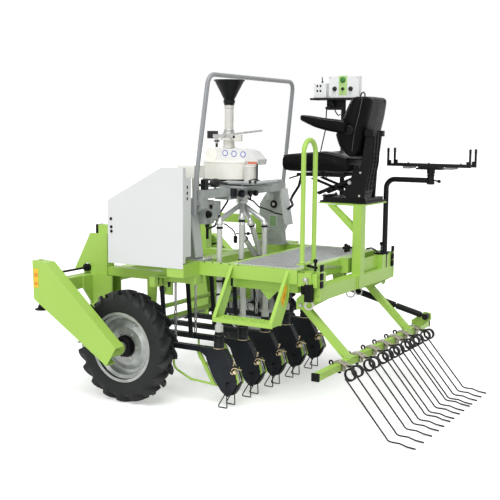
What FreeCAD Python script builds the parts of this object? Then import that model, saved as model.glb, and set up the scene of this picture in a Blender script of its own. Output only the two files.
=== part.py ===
import FreeCAD, Part
import math
import os

os.makedirs("parts", exist_ok=True)

# Plot seeder, millimetres. +X is the driving direction, +Y the driver's left, +Z up.
# X = 0 is the wheel axle, Y = 0 the machine's middle, Z = 0 the ground.

V = FreeCAD.Vector
X = V(1, 0, 0)
Y = V(0, 1, 0)
Z = V(0, 0, 1)

# ---------------------------------------------------------------- wheels
axle_z = 345.0
wheel_y = 785.0
tyre_radius = 345.0
tread_radius = 325.0
tyre_half_width = 72.0
tyre_wall = 14.0
rim_half_width = 62.0
rim_flange_radius = 220.0
bead_radius = 203.0
bead_clearance = 0.3
rim_sheet = 4.0
lug_count = 19
lug_width = 30.0
lug_sweep_deg = 13.0
axle_radius = 25.0
axle_running_clearance = 0.05
hub_flange_radius = 68.0

# ---------------------------------------------------------------- side arms
arm_outer_y = 1000.0
arm_depth = 80.0
arm_sheet = 8.0
arm_outline = [(562, 856), (452, 849), (-80, 378), (-10, 262), (554, 614)]

# ---------------------------------------------------------------- main frame
toolbar_size = 80.0
toolbar_x = 400.0
toolbar_z = 657.0
side_beam_y = 528.0
side_beam_width = 80.0
side_beam_height = 55.0
cross_beam_x = -390.0
cross_beam_width = 120.0
cross_beam_height = 80.0
deck_z = 872.0
cross_beam_half_length = 742.0
plate_sheet = 12.0
upper_rail_size = 60.0
upper_rail_z = 998.0

# ---------------------------------------------------------------- three-point hitch
lower_pin_radius = 14.0
lower_pin_shoulder_y = 412.5
lower_pin_length = 85.0
lower_pin_shank_radius = 17.0
lower_pin_collar = 8.0
lower_pin_x = 560.0
lower_pin_z = 480.0
upper_bore_radius = 12.95
upper_clevis_gap = 60.0
mast_height = 610.0
upper_pin_x = 520.0
clevis_sheet = 16.0

# ---------------------------------------------------------------- coulters
row_spacing = 285.0
row_count = 5
coulter_arm_width = 40.0
coulter_arm_height = 32.0
coulter_pivot_x = 270.0
coulter_pivot_z = 337.0
coulter_pivot_radius = 17.0
coulter_arm_rear_x = -418.0
coulter_body_width = 46.0
hose_x = -534.0
hose_radius = 17.0
hose_sleeve_radius = 25.0
hose_sleeve_length = 70.0
cup_radius = 32.0
cup_top_z = 432.0
chain_x = -176.0
link_count = 6
link_length = 50.0
link_wire = 6.0

# ---------------------------------------------------------------- seed metering
metering_x = -246.0
drum_radius = 168.0
drum_z = 1345.0
drum_height = 122.0
funnel_radius = 100.0
funnel_neck_radius = 31.0
seed_tube_length = 214.0
seed_tube_flange = 14.0
funnel_neck_height = 34.0
funnel_height = 128.0
tube_radius = 29.0
tower_y = 470.0
tower_depth = 60.0
tower_top_z = 1250.0
bridge_height = 50.0
hoop_radius = 14.0
hoop_top_z = 1996.0
hoop_lean = 82.0
hoop_top_y = 540.0
hoop_foot_y = 564.0
hood_half_width = 60.0
hood_height = 78.0
cup_bore = 35.0
cup_wall = 4.0
tray_gap = 11.0
tray_sheet = 8.0

# ---------------------------------------------------------------- platform and rear frame
platform_rear_x = -1058.0
platform_left_y = 570.0
platform_right_y = -590.0
platform_beam = 50.0
grating_front_x = -600.0
grating_thickness = 22.0
rear_beam_x = -1190.0
rear_beam_z = 700.0
rear_beam_size = 80.0
post_size = 60.0
post_y = -90.0
seat_plate_z = 1208.0
rail_radius = 14.0
rail_x = -1086.0
rail_y = 490.0
rail_spread = 148.0
rail_top_z = 1630.0

# ---------------------------------------------------------------- harrow
harrow_pivot_x = -1035.0
harrow_pivot_z = 655.0
harrow_bar_x = -1345.0
harrow_bar_z = 358.0
harrow_bar_size = 40.0
harrow_bar_right_y = -825.0
harrow_bar_left_y = 885.0
harrow_arm_size = 40.0
harrow_arm_left_y = 440.0
harrow_arm_right_y = -500.0
tine_pairs = [(727, 600), (470, 358), (266, 157), (88, -17), (-98, -206), (-258, -353), (-448, -551)]
tine_clamp_offset = 8.0
tine_clamp_width = 40.0
tine_wire = 4.5
tine_kink_x = -1704.0
tine_kink_z = 24.0
tine_tip_x = -1860.0
tine_coil_x = -1468.0
tine_coil_z = 350.0
tine_coil_radius = 29.0
tine_turns = 3
tine_turn_pitch = 11.0
strut_y = -565.0


def box(x0, x1, y0, y1, z0, z1):
    """Axis-parallel box between two corners."""
    return Part.makeBox(x1 - x0, y1 - y0, z1 - z0, V(x0, y0, z0))


def cyl(p, q, radius):
    """Round bar between two points."""
    p = V(*p)
    q = V(*q)
    d = q.sub(p)
    return Part.makeCylinder(radius, d.Length, p, d)


def ring(p, q, outer, inner):
    """Tube between two points."""
    return cyl(p, q, outer).cut(cyl(p, q, inner))


def xz_plate(points, y0, y1):
    """Plate with its outline in XZ, from y0 to y1."""
    face = Part.Face(Part.makePolygon([V(a, y0, b) for a, b in points + points[:1]]))
    return face.extrude(V(0, y1 - y0, 0))


def yz_plate(points, x0, x1):
    """Plate with its outline in YZ, from x0 to x1."""
    face = Part.Face(Part.makePolygon([V(x0, a, b) for a, b in points + points[:1]]))
    return face.extrude(V(x1 - x0, 0, 0))


def xy_plate(points, z0, z1):
    """Plate with its outline in XY, from z0 to z1."""
    face = Part.Face(Part.makePolygon([V(a, b, z0) for a, b in points + points[:1]]))
    return face.extrude(V(0, 0, z1 - z0))


def fuse(shapes):
    """One solid out of touching shapes."""
    out = shapes[0]
    if len(shapes) > 1:
        out = shapes[0].multiFuse(shapes[1:])
    return out.removeSplitter()


def mirror_y(shape):
    """The same shape on the other side of the machine."""
    return shape.mirror(V(0, 0, 0), Y)


def both(shape):
    """A shape and its mirror image."""
    return [shape, mirror_y(shape)]


def turned(profile, centre, axis=Y):
    """Solid of revolution: profile points are (distance along axis, radius)."""
    c = V(*centre)
    side = X if axis == Y else (X if axis == Z else Z)
    pts = [c.add(axis * a).add(side * r) for a, r in profile]
    face = Part.Face(Part.makePolygon(pts + pts[:1]))
    return face.revolve(c, axis, 360)


def pipe(points, radius, bend):
    """Round bar bent along the points: straight runs joined by equal round bends."""
    pts = [V(*p) for p in points]
    pieces = []
    start = pts[0]
    for a, b, c in zip(pts[:-2], pts[1:-1], pts[2:]):
        u = a.sub(b).normalize()
        w = c.sub(b).normalize()
        half = u.getAngle(w) / 2
        setback = bend / math.tan(half)
        p = b.add(u * setback)
        q = b.add(w * setback)
        centre = b.add(u.add(w).normalize() * (bend / math.sin(half)))
        if p.sub(start).Length > 0.01:
            pieces.append(Part.makeCylinder(radius, p.sub(start).Length, start, p.sub(start)))
        disc = Part.Face(Part.Wire(Part.makeCircle(radius, p, u)))
        turn_axis = p.sub(centre).cross(q.sub(centre))
        pieces.append(disc.revolve(centre, turn_axis, 180 - math.degrees(2 * half)))
        start = q
    end = pts[-1].sub(start)
    pieces.append(Part.makeCylinder(radius, end.Length, start, end))
    return fuse(pieces)


def bar_between(p, q, width_y, height):
    """Rectangular bar in an XZ plane from p to q, given as (x, y, z) centres."""
    dx = q[0] - p[0]
    dz = q[2] - p[2]
    n = math.hypot(dx, dz)
    ux, uz = -dz / n * height / 2, dx / n * height / 2
    pts = [(p[0] + ux, p[2] + uz), (q[0] + ux, q[2] + uz), (q[0] - ux, q[2] - uz), (p[0] - ux, p[2] - uz)]
    return xz_plate(pts, p[1] - width_y / 2, p[1] + width_y / 2)


def inset(points, distances):
    """Polygon whose edges are moved inward; distances go with the edges in order."""
    area = sum(a[0] * b[1] - b[0] * a[1] for a, b in zip(points, points[1:] + points[:1]))
    sign = 1 if area > 0 else -1
    lines = []
    for (a, b, d) in zip(points, points[1:] + points[:1], distances):
        ex, ez = b[0] - a[0], b[1] - a[1]
        n = math.hypot(ex, ez)
        nx, nz = -ez / n * sign, ex / n * sign
        lines.append((a[0] + nx * d, a[1] + nz * d, ex, ez))
    out = []
    for p, q in zip(lines[-1:] + lines[:-1], lines):
        det = p[2] * q[3] - p[3] * q[2]
        t = ((q[0] - p[0]) * q[3] - (q[1] - p[1]) * q[2]) / det
        out.append((p[0] + p[2] * t, p[1] + p[3] * t))
    return out


nodes = {}


def node(name, shapes):
    """Keep the solids that make up one named piece."""
    if not isinstance(shapes, (list, tuple)):
        shapes = [shapes]
    solids = []
    for s in shapes:
        solids.extend(s.Solids)
    nodes[name] = solids[0] if len(solids) == 1 else Part.makeCompound(solids)
    return nodes[name]


# ================================================================ wheels
def closed_solid(polygons):
    """Solid from flat faces that close round it."""
    faces = [Part.Face(Part.makePolygon(list(points) + [points[0]])) for points in polygons]
    solid = Part.makeSolid(Part.makeShell(faces))
    if solid.Volume < 0:
        solid.reverse()
    return solid


def stitched(ring_a, ring_b):
    """Triangles between two closed rings of (angle, point) whose points stand at different angles."""
    triangles = []
    i = 0
    j = 0
    while i < len(ring_a) or j < len(ring_b):
        next_a = ring_a[(i + 1) % len(ring_a)][0] + (2 * math.pi if i + 1 >= len(ring_a) else 0)
        next_b = ring_b[(j + 1) % len(ring_b)][0] + (2 * math.pi if j + 1 >= len(ring_b) else 0)
        a = ring_a[i % len(ring_a)][1]
        b = ring_b[j % len(ring_b)][1]
        if j >= len(ring_b) or (i < len(ring_a) and next_a <= next_b):
            triangles.append([a, b, ring_a[(i + 1) % len(ring_a)][1]])
            i = i + 1
        else:
            triangles.append([a, b, ring_b[(j + 1) % len(ring_b)][1]])
            j = j + 1
    return triangles


def make_tyre():
    """Tyre about the origin: hollow carcass in flat facets with two staggered rows of slanted bars."""
    pitch = 2 * math.pi / lug_count
    half_lug = lug_width / 2 / tyre_radius
    sweep = math.radians(lug_sweep_deg)
    bore = (bead_radius + bead_clearance) / math.cos(pitch / 2 - half_lug)
    seat_y = rim_half_width - rim_sheet
    h = tyre_half_width
    tread_edge_y = h - 5
    tread_edge_radius = tread_radius - 22
    rows = [(3, tread_radius, 0), (tread_edge_y, tread_edge_radius, 1), (h, 262, 1),
            (seat_y, rim_flange_radius + 4, 1), (seat_y, bore, 1), (seat_y - tyre_wall, bore, 1),
            (h - tyre_wall, 262, 1), (h - tyre_wall - 8, tread_edge_radius - tyre_wall, 1)]
    polygons = []
    middle_rings = []
    inner_rings = []
    for side in (1, -1):
        def place(y, r, a):
            """Point at a width, a radius and an angle round the wheel."""
            return V(r * math.sin(a), side * y, r * math.cos(a))

        angles = []
        for i in range(lug_count):
            middle = (i + (0 if side > 0 else 0.5)) * pitch
            angles.extend([middle - half_lug, middle + half_lug])
        grid = [[place(y, r, a - sweep * lean) for a in angles] for y, r, lean in rows]
        count = len(angles)
        for k in range(len(rows) - 1):
            for c in range(count):
                d = (c + 1) % count
                corners = [grid[k][c], grid[k + 1][c], grid[k + 1][d], grid[k][d]]
                if k == 0 and c % 2 == 0:
                    a0 = angles[c] + half_lug
                    narrow = half_lug * 0.8
                    crown = tyre_radius / math.cos(narrow)
                    top = [place(3, crown, a0 - narrow), place(h - 2, crown - 17, a0 - sweep - narrow),
                           place(h - 2, crown - 17, a0 - sweep + narrow), place(3, crown, a0 + narrow)]
                    quads = [top] + [[corners[n], corners[(n + 1) % 4], top[(n + 1) % 4], top[n]] for n in range(4)]
                else:
                    quads = [corners]
                for q in quads:
                    polygons.append([q[0], q[1], q[2]])
                    polygons.append([q[0], q[2], q[3]])
        middle_rings.append(list(zip(angles, grid[0])))
        inner_rings.append(list(zip([a - sweep for a in angles], grid[-1])))
    polygons.extend(stitched(*middle_rings))
    polygons.extend(stitched(*inner_rings))
    return closed_solid(polygons)


def make_rim():
    """Steel rim with a dished disc; +Y is the outer side."""
    w = rim_half_width
    t = rim_sheet
    b = bead_radius
    f = rim_flange_radius
    well = 182.0
    half = [(w, f), (w - t, f), (w - t, b), (w - 24, b), (w - 34, well)]
    inside = [(w - 34 + 2, well - t), (w - 24 + 2, b - t), (w, b - t)]
    profile = half + [(-a, r) for a, r in reversed(half)]
    profile = profile + [(-a, r) for a, r in reversed(inside)] + inside
    barrel = turned(profile, (0, 0, 0))
    disc_edge = well - t + 0.5
    disc = turned([(-6, disc_edge), (-6, 150), (8, 118), (8, 46), (0, 46), (0, 114), (-14, 144), (-14, disc_edge)],
                  (0, 0, 0))
    return fuse([barrel, disc])


def make_hub():
    """Bolted hub with a through bore for the stub axle."""
    bore = axle_radius + axle_running_clearance
    return turned([(8, bore), (8, hub_flange_radius), (20, hub_flange_radius), (20, 52), (44, 46), (48, 40),
                   (48, bore)], (0, 0, 0)).fuse(
        turned([(-50, bore), (-50, 42), (8, 46), (8, bore)], (0, 0, 0)))


tyre_shape = make_tyre()
rim_shape = make_rim()
hub_shape = fuse([make_hub()])
for side, name in ((1, "left"), (-1, "right")):
    for part_name, shape in (("tyre", tyre_shape), ("rim", rim_shape), ("hub", hub_shape)):
        s = shape.copy()
        if side < 0:
            s = mirror_y(s)
        s.translate(V(0, side * wheel_y, axle_z))
        node(part_name + "_" + name, s)

# ================================================================ side arms with the stub axles
arm_inner_y = arm_outer_y - arm_depth
web_inner_y = arm_outer_y - arm_sheet
arm_block = xz_plate(arm_outline, arm_inner_y, arm_outer_y)
arm_hollow = inset(arm_outline, [arm_sheet, arm_sheet, -20.0, arm_sheet, arm_sheet])
side_arm = arm_block.cut(xz_plate(arm_hollow, arm_inner_y - 1, web_inner_y))
axle_boss = ring((0, 862, axle_z), (0, web_inner_y, axle_z), 42, axle_radius)
jack_x = 530.0
jack_socket_y = 955.0
jack_radius = 14.0
jack_clearance = 0.1
jack_slide_length = 170.0
side_arm = fuse([side_arm, axle_boss.common(arm_block.fuse(box(-60, 60, 800, 930, 200, 450)))])
socket = ring((jack_x, jack_socket_y, 590), (jack_x, jack_socket_y, 800), 21, jack_radius + jack_clearance)
side_arm = fuse([side_arm.cut(cyl((jack_x, jack_socket_y, 500), (jack_x, jack_socket_y, 800), 20)), socket])
side_arm = side_arm.cut(cyl((jack_x, jack_socket_y, 500), (jack_x, jack_socket_y, 860),
                            jack_radius + jack_clearance))
node("side_arm_left", side_arm)
node("side_arm_right", mirror_y(side_arm))
stub_axle = cyl((0, wheel_y - 58, axle_z), (0, web_inner_y, axle_z), axle_radius)
axle_collar = ring((0, wheel_y + 49, axle_z), (0, 862, axle_z), 34, axle_radius)
axle_nut = ring((0, wheel_y - 66, axle_z), (0, wheel_y - 51, axle_z), 34, axle_radius)
stub = fuse([stub_axle, axle_collar, axle_nut])
node("stub_axles", both(stub))

# jack feet that slide in the arms' front ends
foot_bottom_z = 542.0
foot = fuse([cyl((jack_x, jack_socket_y, foot_bottom_z + 8), (jack_x, jack_socket_y, 790), jack_radius),
             turned([(0, 0), (0, 42), (6, 42), (12, 26), (26, 22), (40, 14), (40, 0)],
                    (jack_x, jack_socket_y, foot_bottom_z), Z)])
foot = foot.common(box(400, 700, 900, 1000, foot_bottom_z, 790))
node("jack_foot_left", foot)
node("jack_foot_right", mirror_y(foot))

# ================================================================ main frame
toolbar_top = toolbar_z + toolbar_size
side_beam_top = toolbar_top + side_beam_height
beam_outer_y = side_beam_y + side_beam_width
tbx1 = toolbar_x + toolbar_size
frame_parts = [box(toolbar_x, tbx1, -web_inner_y, web_inner_y, toolbar_z, toolbar_top)]
frame_parts.append(box(cross_beam_x, cross_beam_x + cross_beam_width, -cross_beam_half_length,
                       cross_beam_half_length, side_beam_top, deck_z))
front_plate = xz_plate([(545, 763), (416, 1002), (279, 1002), (281, toolbar_top), (411, toolbar_top), (411, 788),
                        (424, 805), (456, 805), (470, 788), (470, 763)], beam_outer_y, beam_outer_y + plate_sheet)
side_beam = box(cross_beam_x, tbx1, side_beam_y, beam_outer_y, toolbar_top, side_beam_top)
upper_rail = box(-200, 358, beam_outer_y - upper_rail_size, beam_outer_y, upper_rail_z,
                 upper_rail_z + upper_rail_size)
rail_post = box(279, 330, beam_outer_y - upper_rail_size, beam_outer_y, side_beam_top, upper_rail_z)
rail_rear_post = box(-200, -140, beam_outer_y - upper_rail_size, beam_outer_y, side_beam_top, upper_rail_z)
leg_plate = yz_plate([(720, toolbar_z), (634, 548), (634, 300), (500, 300), (500, toolbar_top), (634, toolbar_top),
                      (720, toolbar_top)], toolbar_x - plate_sheet, toolbar_x)
leg_web = xz_plate([(toolbar_x - plate_sheet, toolbar_top), (toolbar_x - plate_sheet, 300), (230, 300), (230, 420),
                    (260, 600), (260, toolbar_top)], 500, 500 + plate_sheet)
outer_web = xz_plate([(toolbar_x - plate_sheet, toolbar_top), (toolbar_x - plate_sheet, 300), (230, 300), (230, 420),
                      (233, toolbar_top)], 622, 634)
for s in (front_plate, side_beam, upper_rail, rail_post, rail_rear_post, leg_plate, leg_web, outer_web):
    frame_parts.extend(both(s))
panel_bracket = box(120, 160, beam_outer_y, 742, upper_rail_z + 10, upper_rail_z + 50)
frame_parts.append(panel_bracket)

# the keyhole bar that the lift chains hook into, and the pressure shafts under it
keyhole_bar = box(-150, -110, -700, 700, 710, 772)
keyhole_ledge = box(-200, -150, -650, 650, 764, 772)
frame_parts.extend([keyhole_bar, keyhole_ledge])
shaft_hanger = xz_plate([(-20, toolbar_top), (-95, toolbar_top), (-75, 440), (-25, 440)], 590, 600)
frame_parts.extend(both(shaft_hanger))
frame_parts.append(cyl((-50, -600, 545), (-50, 600, 545), 15))
frame_parts.append(cyl((-50, -600, 465), (-50, 600, 465), 15))

# three-point hitch: two plates with stub pins for the lower links and a mast with a clevis
plate_outer_y = lower_pin_shoulder_y - lower_pin_collar
hitch_plate = xz_plate([(tbx1, toolbar_top), (tbx1, 440), (lower_pin_x, 440), (lower_pin_x + 40, lower_pin_z),
                        (lower_pin_x + 40, 520), (tbx1 + 30, toolbar_top)], plate_outer_y - clevis_sheet, plate_outer_y)
hitch_rib = xz_plate([(tbx1, toolbar_top), (tbx1, 560), (tbx1 + 25, 560), (tbx1 + 25, toolbar_top)],
                     plate_outer_y - 90, plate_outer_y - clevis_sheet)
upper_pin_z = lower_pin_z + mast_height
mast_in = upper_clevis_gap / 2
mast_plate = xz_plate([(tbx1, toolbar_z), (toolbar_x, toolbar_top), (toolbar_x, 900), (upper_pin_x - 45, 1130),
                       (upper_pin_x + 30, 1130), (upper_pin_x + 30, 1050), (tbx1, 860)], mast_in, mast_in + clevis_sheet)
mast_plate = mast_plate.fuse(box(toolbar_x, tbx1, mast_in, mast_in + clevis_sheet, toolbar_top, 860))
mast_web = box(toolbar_x, toolbar_x + 20, -mast_in, mast_in, toolbar_top, 900)
for s in (hitch_plate, hitch_rib, mast_plate):
    frame_parts.extend(both(s))
frame_parts.append(mast_web)
main_frame = fuse(frame_parts)
pins = []
for s in (1, -1):
    def on_pin(y):
        """Point on a lower hitch pin's axis."""
        return (lower_pin_x, s * y, lower_pin_z)

    main_frame = main_frame.cut(cyl(on_pin(plate_outer_y - 60), on_pin(plate_outer_y + 60), lower_pin_shank_radius))
    pins.append(fuse([cyl(on_pin(plate_outer_y - clevis_sheet - 22), on_pin(plate_outer_y), lower_pin_shank_radius),
                      cyl(on_pin(plate_outer_y - clevis_sheet - 16), on_pin(plate_outer_y - clevis_sheet),
                          lower_pin_shank_radius + 9),
                      cyl(on_pin(plate_outer_y), on_pin(lower_pin_shoulder_y), lower_pin_shank_radius + 9),
                      cyl(on_pin(lower_pin_shoulder_y), on_pin(lower_pin_shoulder_y + lower_pin_length),
                          lower_pin_radius)]))
main_frame = main_frame.cut(cyl((upper_pin_x, -60, upper_pin_z), (upper_pin_x, 60, upper_pin_z), upper_bore_radius))

# cross shafts between the arms and the front plates
shaft_x = 440.0
shaft_z = 777.0
shaft_radius = 7.0
shafts = []
for s in (1, -1):
    rod = cyl((shaft_x, s * beam_outer_y, shaft_z), (shaft_x, s * web_inner_y, shaft_z), shaft_radius)
    bush = cyl((shaft_x, s * beam_outer_y, shaft_z), (shaft_x, s * 640, shaft_z), 24)
    shafts.append(fuse([rod, bush]))
node("cross_shafts", shafts)

# coulter pivot shaft across the legs
pivot = cyl((coulter_pivot_x, -650, coulter_pivot_z), (coulter_pivot_x, 650, coulter_pivot_z), coulter_pivot_radius)
main_frame = main_frame.cut(pivot)
pins.append(pivot)
node("main_frame", main_frame)

# ================================================================ cover panel on the left
panel_outline = [(172, 843), (172, 1232), (-225, 1441), (-388, 1446), (-388, 846)]
panel_block = xz_plate(panel_outline, 742, 745)
panel_rim = xz_plate(panel_outline, 717, 742).cut(xz_plate(inset(panel_outline, [3, 3, 3, 3, 3]), 716, 742))
panel_rim = panel_rim.cut(box(-400, -260, 700, 742, 830, 880))
panel_rear = box(-388, -385, 660, 742, 915, 1385)
cover_panel = fuse([panel_block, panel_rim, panel_rear])
node("cover_panel", cover_panel)

# ================================================================ towers, bridge and hoop
def make_tower(outline, side):
    """Cast side frame on a flange; side is 1 on the driver's left."""
    body = xz_plate(outline, tower_y, tower_y + tower_depth)
    flange = box(-410, -215, tower_y - 20, tower_y + tower_depth + 20, deck_z, deck_z + 10)
    tower = fuse([body, flange])
    return tower if side > 0 else mirror_y(tower)


tower_foot_z = deck_z + 10
left_outline = [(-222, tower_foot_z), (-222, 1170), (-262, tower_top_z), (-385, tower_top_z), (-385, 1190),
                (-305, 1150), (-345, tower_foot_z)]
right_outline = [(-262, tower_foot_z), (-247, 1035), (-214, 1075), (-216, 1150), (-243, 1195), (-268, 1228),
                 (-300, tower_top_z), (-370, tower_top_z), (-418, 1019), (-393, 965), (-402, tower_foot_z)]
boss_x = -335.0
boss_z = 1154.0
boss = ring((boss_x, -tower_y + 8, boss_z), (boss_x, -tower_y - 20, boss_z), 26, 10)
right_tower = make_tower(right_outline, -1).cut(cyl((boss_x, -tower_y + 20, boss_z), (boss_x, -tower_y - 20, boss_z), 20))
right_tower = fuse([right_tower, boss])
node("towers", [make_tower(left_outline, 1), right_tower])
left_cover = xz_plate([(-305.4, 1150), (-345.4, 890), (-356, 890), (-316, 1152)], tower_y + 0.3, tower_y + 80)
right_cover = xz_plate([(-370.4, tower_top_z + 12), (-418.4, 1019), (-438, 1013), (-391, tower_top_z + 14)],
                       -tower_y - 88, -tower_y + 8)
node("tower_covers", [left_cover, right_cover])
bridge_top = tower_top_z + bridge_height
bridge = box(-390, -310, -tower_y - tower_depth, tower_y + tower_depth, tower_top_z, bridge_top)
bridge = bridge.cut(right_cover)
bridge_plate = box(-470, -120, -190, 190, bridge_top, bridge_top + 12)
bridge_side = box(-369, -320, -tower_y - tower_depth, -190, bridge_top, bridge_top + 25)
plate_top = bridge_top + 12
tray_z = plate_top + tray_gap
tray_plate = box(-526, -300, -150, 150, tray_z, tray_z + tray_sheet)
tray_spacer = box(-440, -400, -100, 100, plate_top, tray_z)
drum_neck_radius = 90.0
bridge_block = box(-395, -285, 60, 232, tower_top_z - 22, tower_top_z)
bridge_all = fuse([bridge, bridge_plate, bridge_side, tray_plate, tray_spacer, bridge_block])
bridge_all = bridge_all.cut(cyl((metering_x, 0, plate_top), (metering_x, 0, drum_z), drum_neck_radius + 0.3))
node("bridge", bridge_all)
hoop_foot_z = 1150.0
hoop = pipe([(-350, hoop_foot_y, hoop_foot_z), (-350, hoop_foot_y, 1290), (-350 - hoop_lean, hoop_top_y, hoop_top_z),
             (-350 - hoop_lean, -hoop_top_y, hoop_top_z), (-350, -hoop_foot_y, 1290), (-350, -hoop_foot_y, hoop_foot_z)],
            hoop_radius, 62)
hoop_bracket = box(-366, -334, tower_y + tower_depth, hoop_foot_y, 1212, 1244)
node("roll_hoop", fuse([hoop] + both(hoop_bracket)))
gearbox = fuse([box(-370, -250, 380, tower_y, 1090, 1235), box(-372, -306, 300, 380, 1108, 1224)])
node("gearbox", gearbox)
motor = box(-345, -225, 440, 560, bridge_top + 75, bridge_top + 150)
motor_leg = box(-330, -300, 480, 520, bridge_top, bridge_top + 75)
node("drive_motor", fuse([motor, motor_leg]))

# ================================================================ seed metering
drum_top = drum_z + drum_height
drum = turned([(plate_top - drum_z, 0), (plate_top - drum_z, drum_neck_radius), (0, drum_neck_radius),
               (0, drum_radius - 6), (6, drum_radius), (drum_height, drum_radius), (drum_height, 0)],
              (metering_x, 0, drum_z), Z)
node("seed_drum", drum)
hood_top = drum_top + hood_height
hood_front_x = metering_x + 101
hood_tail_x = metering_x - drum_radius - 4
nose_foot_z = drum_top - 22
hood_round = cyl((hood_front_x, -hood_half_width, drum_top + hood_height / 2),
                 (hood_front_x, hood_half_width, drum_top + hood_height / 2), hood_height / 2)
hood_body = xz_plate([(hood_front_x, drum_top), (hood_front_x, hood_top), (-405, hood_top), (-446, hood_top - 12),
                      (-500, drum_top + 13), (-495, nose_foot_z), (hood_tail_x, nose_foot_z), (hood_tail_x, drum_top)],
                     -hood_half_width, hood_half_width)
node("drum_hood", fuse([hood_round, hood_body]))
flange_z = 1600.0
neck_radius = 36.0
flange_top = flange_z + seed_tube_flange
seed_tube_top = flange_top + seed_tube_length
tube_parts = [cyl((metering_x, 0, hood_top), (metering_x, 0, flange_z), neck_radius),
              cyl((metering_x, 0, flange_z), (metering_x, 0, flange_top), 56),
              cyl((metering_x, 0, flange_top), (metering_x, 0, seed_tube_top), tube_radius)]
seed_tube = fuse(tube_parts)
node("seed_tube", seed_tube)
funnel_rim = funnel_neck_height + funnel_height
funnel = turned([(0, tube_radius - 4), (0, funnel_neck_radius + 3), (funnel_neck_height, funnel_neck_radius + 3),
                 (funnel_rim, funnel_radius), (funnel_rim, funnel_radius - 4),
                 (funnel_neck_height + 2, tube_radius - 4)], (metering_x, 0, seed_tube_top), Z)
node("funnel", funnel)
lever_z = flange_z + 33
lever = cyl((metering_x + 10, 40, lever_z), (metering_x - 262, 22, lever_z + 32), 5)
lever_arm = box(metering_x - 60, metering_x + 140, 30, 46, flange_z + 14, flange_z + 38)
lever_head = box(metering_x + 96, metering_x + 140, -18, 46, flange_z + 10, flange_z + 58)
lever_tab = box(metering_x - 118, metering_x - 76, 30, 46, flange_z - 4, flange_z + 36)
lever_link = box(metering_x - 80, metering_x - 56, 30, 46, flange_z + 14, flange_z + 30)
node("release_lever", fuse([lever, lever_arm, lever_head, lever_tab, lever_link]))
cup_x = -452.0
cup_y = 75.0
cup_floor_z = tray_z + tray_sheet
cup_outer = cup_bore + cup_wall
cup = fuse([ring((cup_x, cup_y, cup_floor_z), (cup_x, cup_y, nose_foot_z - 0.3), cup_outer, cup_bore),
            cyl((cup_x, cup_y, cup_floor_z), (cup_x, cup_y, cup_floor_z + 8), cup_outer)])
node("outlet_cup", cup)

# distributor head under the bridge, five spouts and their hoses down to the coulters
rows = [(i - (row_count - 1) / 2) * row_spacing for i in range(row_count)]
head_x = -350.0
head = turned([(0, 24), (40, 30), (85, 48), (100, 48), (100, 0), (0, 0)], (head_x, 0, tower_top_z - 100), Z)
spouts = [head]
spout_length = 60.0
hose_routes = {-2: [(-413, 87, 985), (-428, -66, 833), (-500, -480, 590), (hose_x, -2 * row_spacing, 550)],
               -1: [(-455, 70, 1085), (-470, -45, 845), (-500, -230, 610), (hose_x, -row_spacing, 550)],
               0: [(-520, 0, 1083), (-523, 0, 800), (hose_x, 0, 600)],
               1: [(-512, 275, 1140), (-514, 280, 850), (hose_x, row_spacing, 600)],
               2: [(-484, 490, 1125), (-484, 490, 740), (hose_x, 2 * row_spacing, 600)]}
hoses = []
for y in rows:
    route = hose_routes[round(y / row_spacing)]
    elbow = V(*route[0])
    drop = V(*route[1]).sub(elbow).normalize()
    joint = elbow.add(drop.multiply(spout_length))
    joint = (joint.x, joint.y, joint.z)
    spouts.append(pipe([(head_x, 0, tower_top_z - 62), route[0], joint], 16, 24))
    sleeve_top = cup_top_z + hose_sleeve_length
    sleeve = turned([(0, 0), (0, hose_sleeve_radius), (hose_sleeve_length - 8, hose_sleeve_radius),
                     (hose_sleeve_length, hose_radius), (hose_sleeve_length, 0)], (hose_x, y, cup_top_z), Z)
    hose = pipe([joint] + route[1:] + [(hose_x, y, sleeve_top - 10)], hose_radius, 40)
    hoses.append(fuse([hose, sleeve]))
distributor = fuse(spouts)
node("distributor", distributor)
node("seed_hoses", hoses)

# ================================================================ coulters, five rows
arm_top = coulter_pivot_z + coulter_arm_height / 2
arm_bottom = coulter_pivot_z - coulter_arm_height / 2


def make_chain(y, top_z):
    """Lift chain: a flat strap from the keyhole bar with links at right angles to each other."""
    half = link_length / 2
    spacing = link_length - 2 * link_wire - 0.6
    outline = [(-11, 0), (-6, half), (6, half), (11, 0), (6, -half), (-6, -half)]
    hole = [(a * 5 / 11, b * (half - link_wire) / half) for a, b in outline]
    pieces = []
    for i in range(link_count):
        z = arm_top + half + i * spacing
        outer = [(a, z + b) for a, b in outline]
        inner = [(a, z + b) for a, b in hole]
        if i % 2 == 0:
            outer = [(chain_x + a, b) for a, b in outer]
            inner = [(chain_x + a, b) for a, b in inner]
            link = xz_plate(outer, y - link_wire / 2, y + link_wire / 2).cut(xz_plate(inner, y - 9, y + 9))
        else:
            outer = [(y + a, b) for a, b in outer]
            inner = [(y + a, b) for a, b in inner]
            link = yz_plate(outer, chain_x - link_wire / 2, chain_x + link_wire / 2)
            link = link.cut(yz_plate(inner, chain_x - 9, chain_x + 9))
        pieces.append(link)
    strap_foot = arm_top + link_length + (link_count - 1) * spacing - 1
    pieces.append(box(chain_x - 2.5, chain_x + 2.5, y - 10, y + 10, strap_foot, top_z))
    return fuse(pieces)


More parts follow.
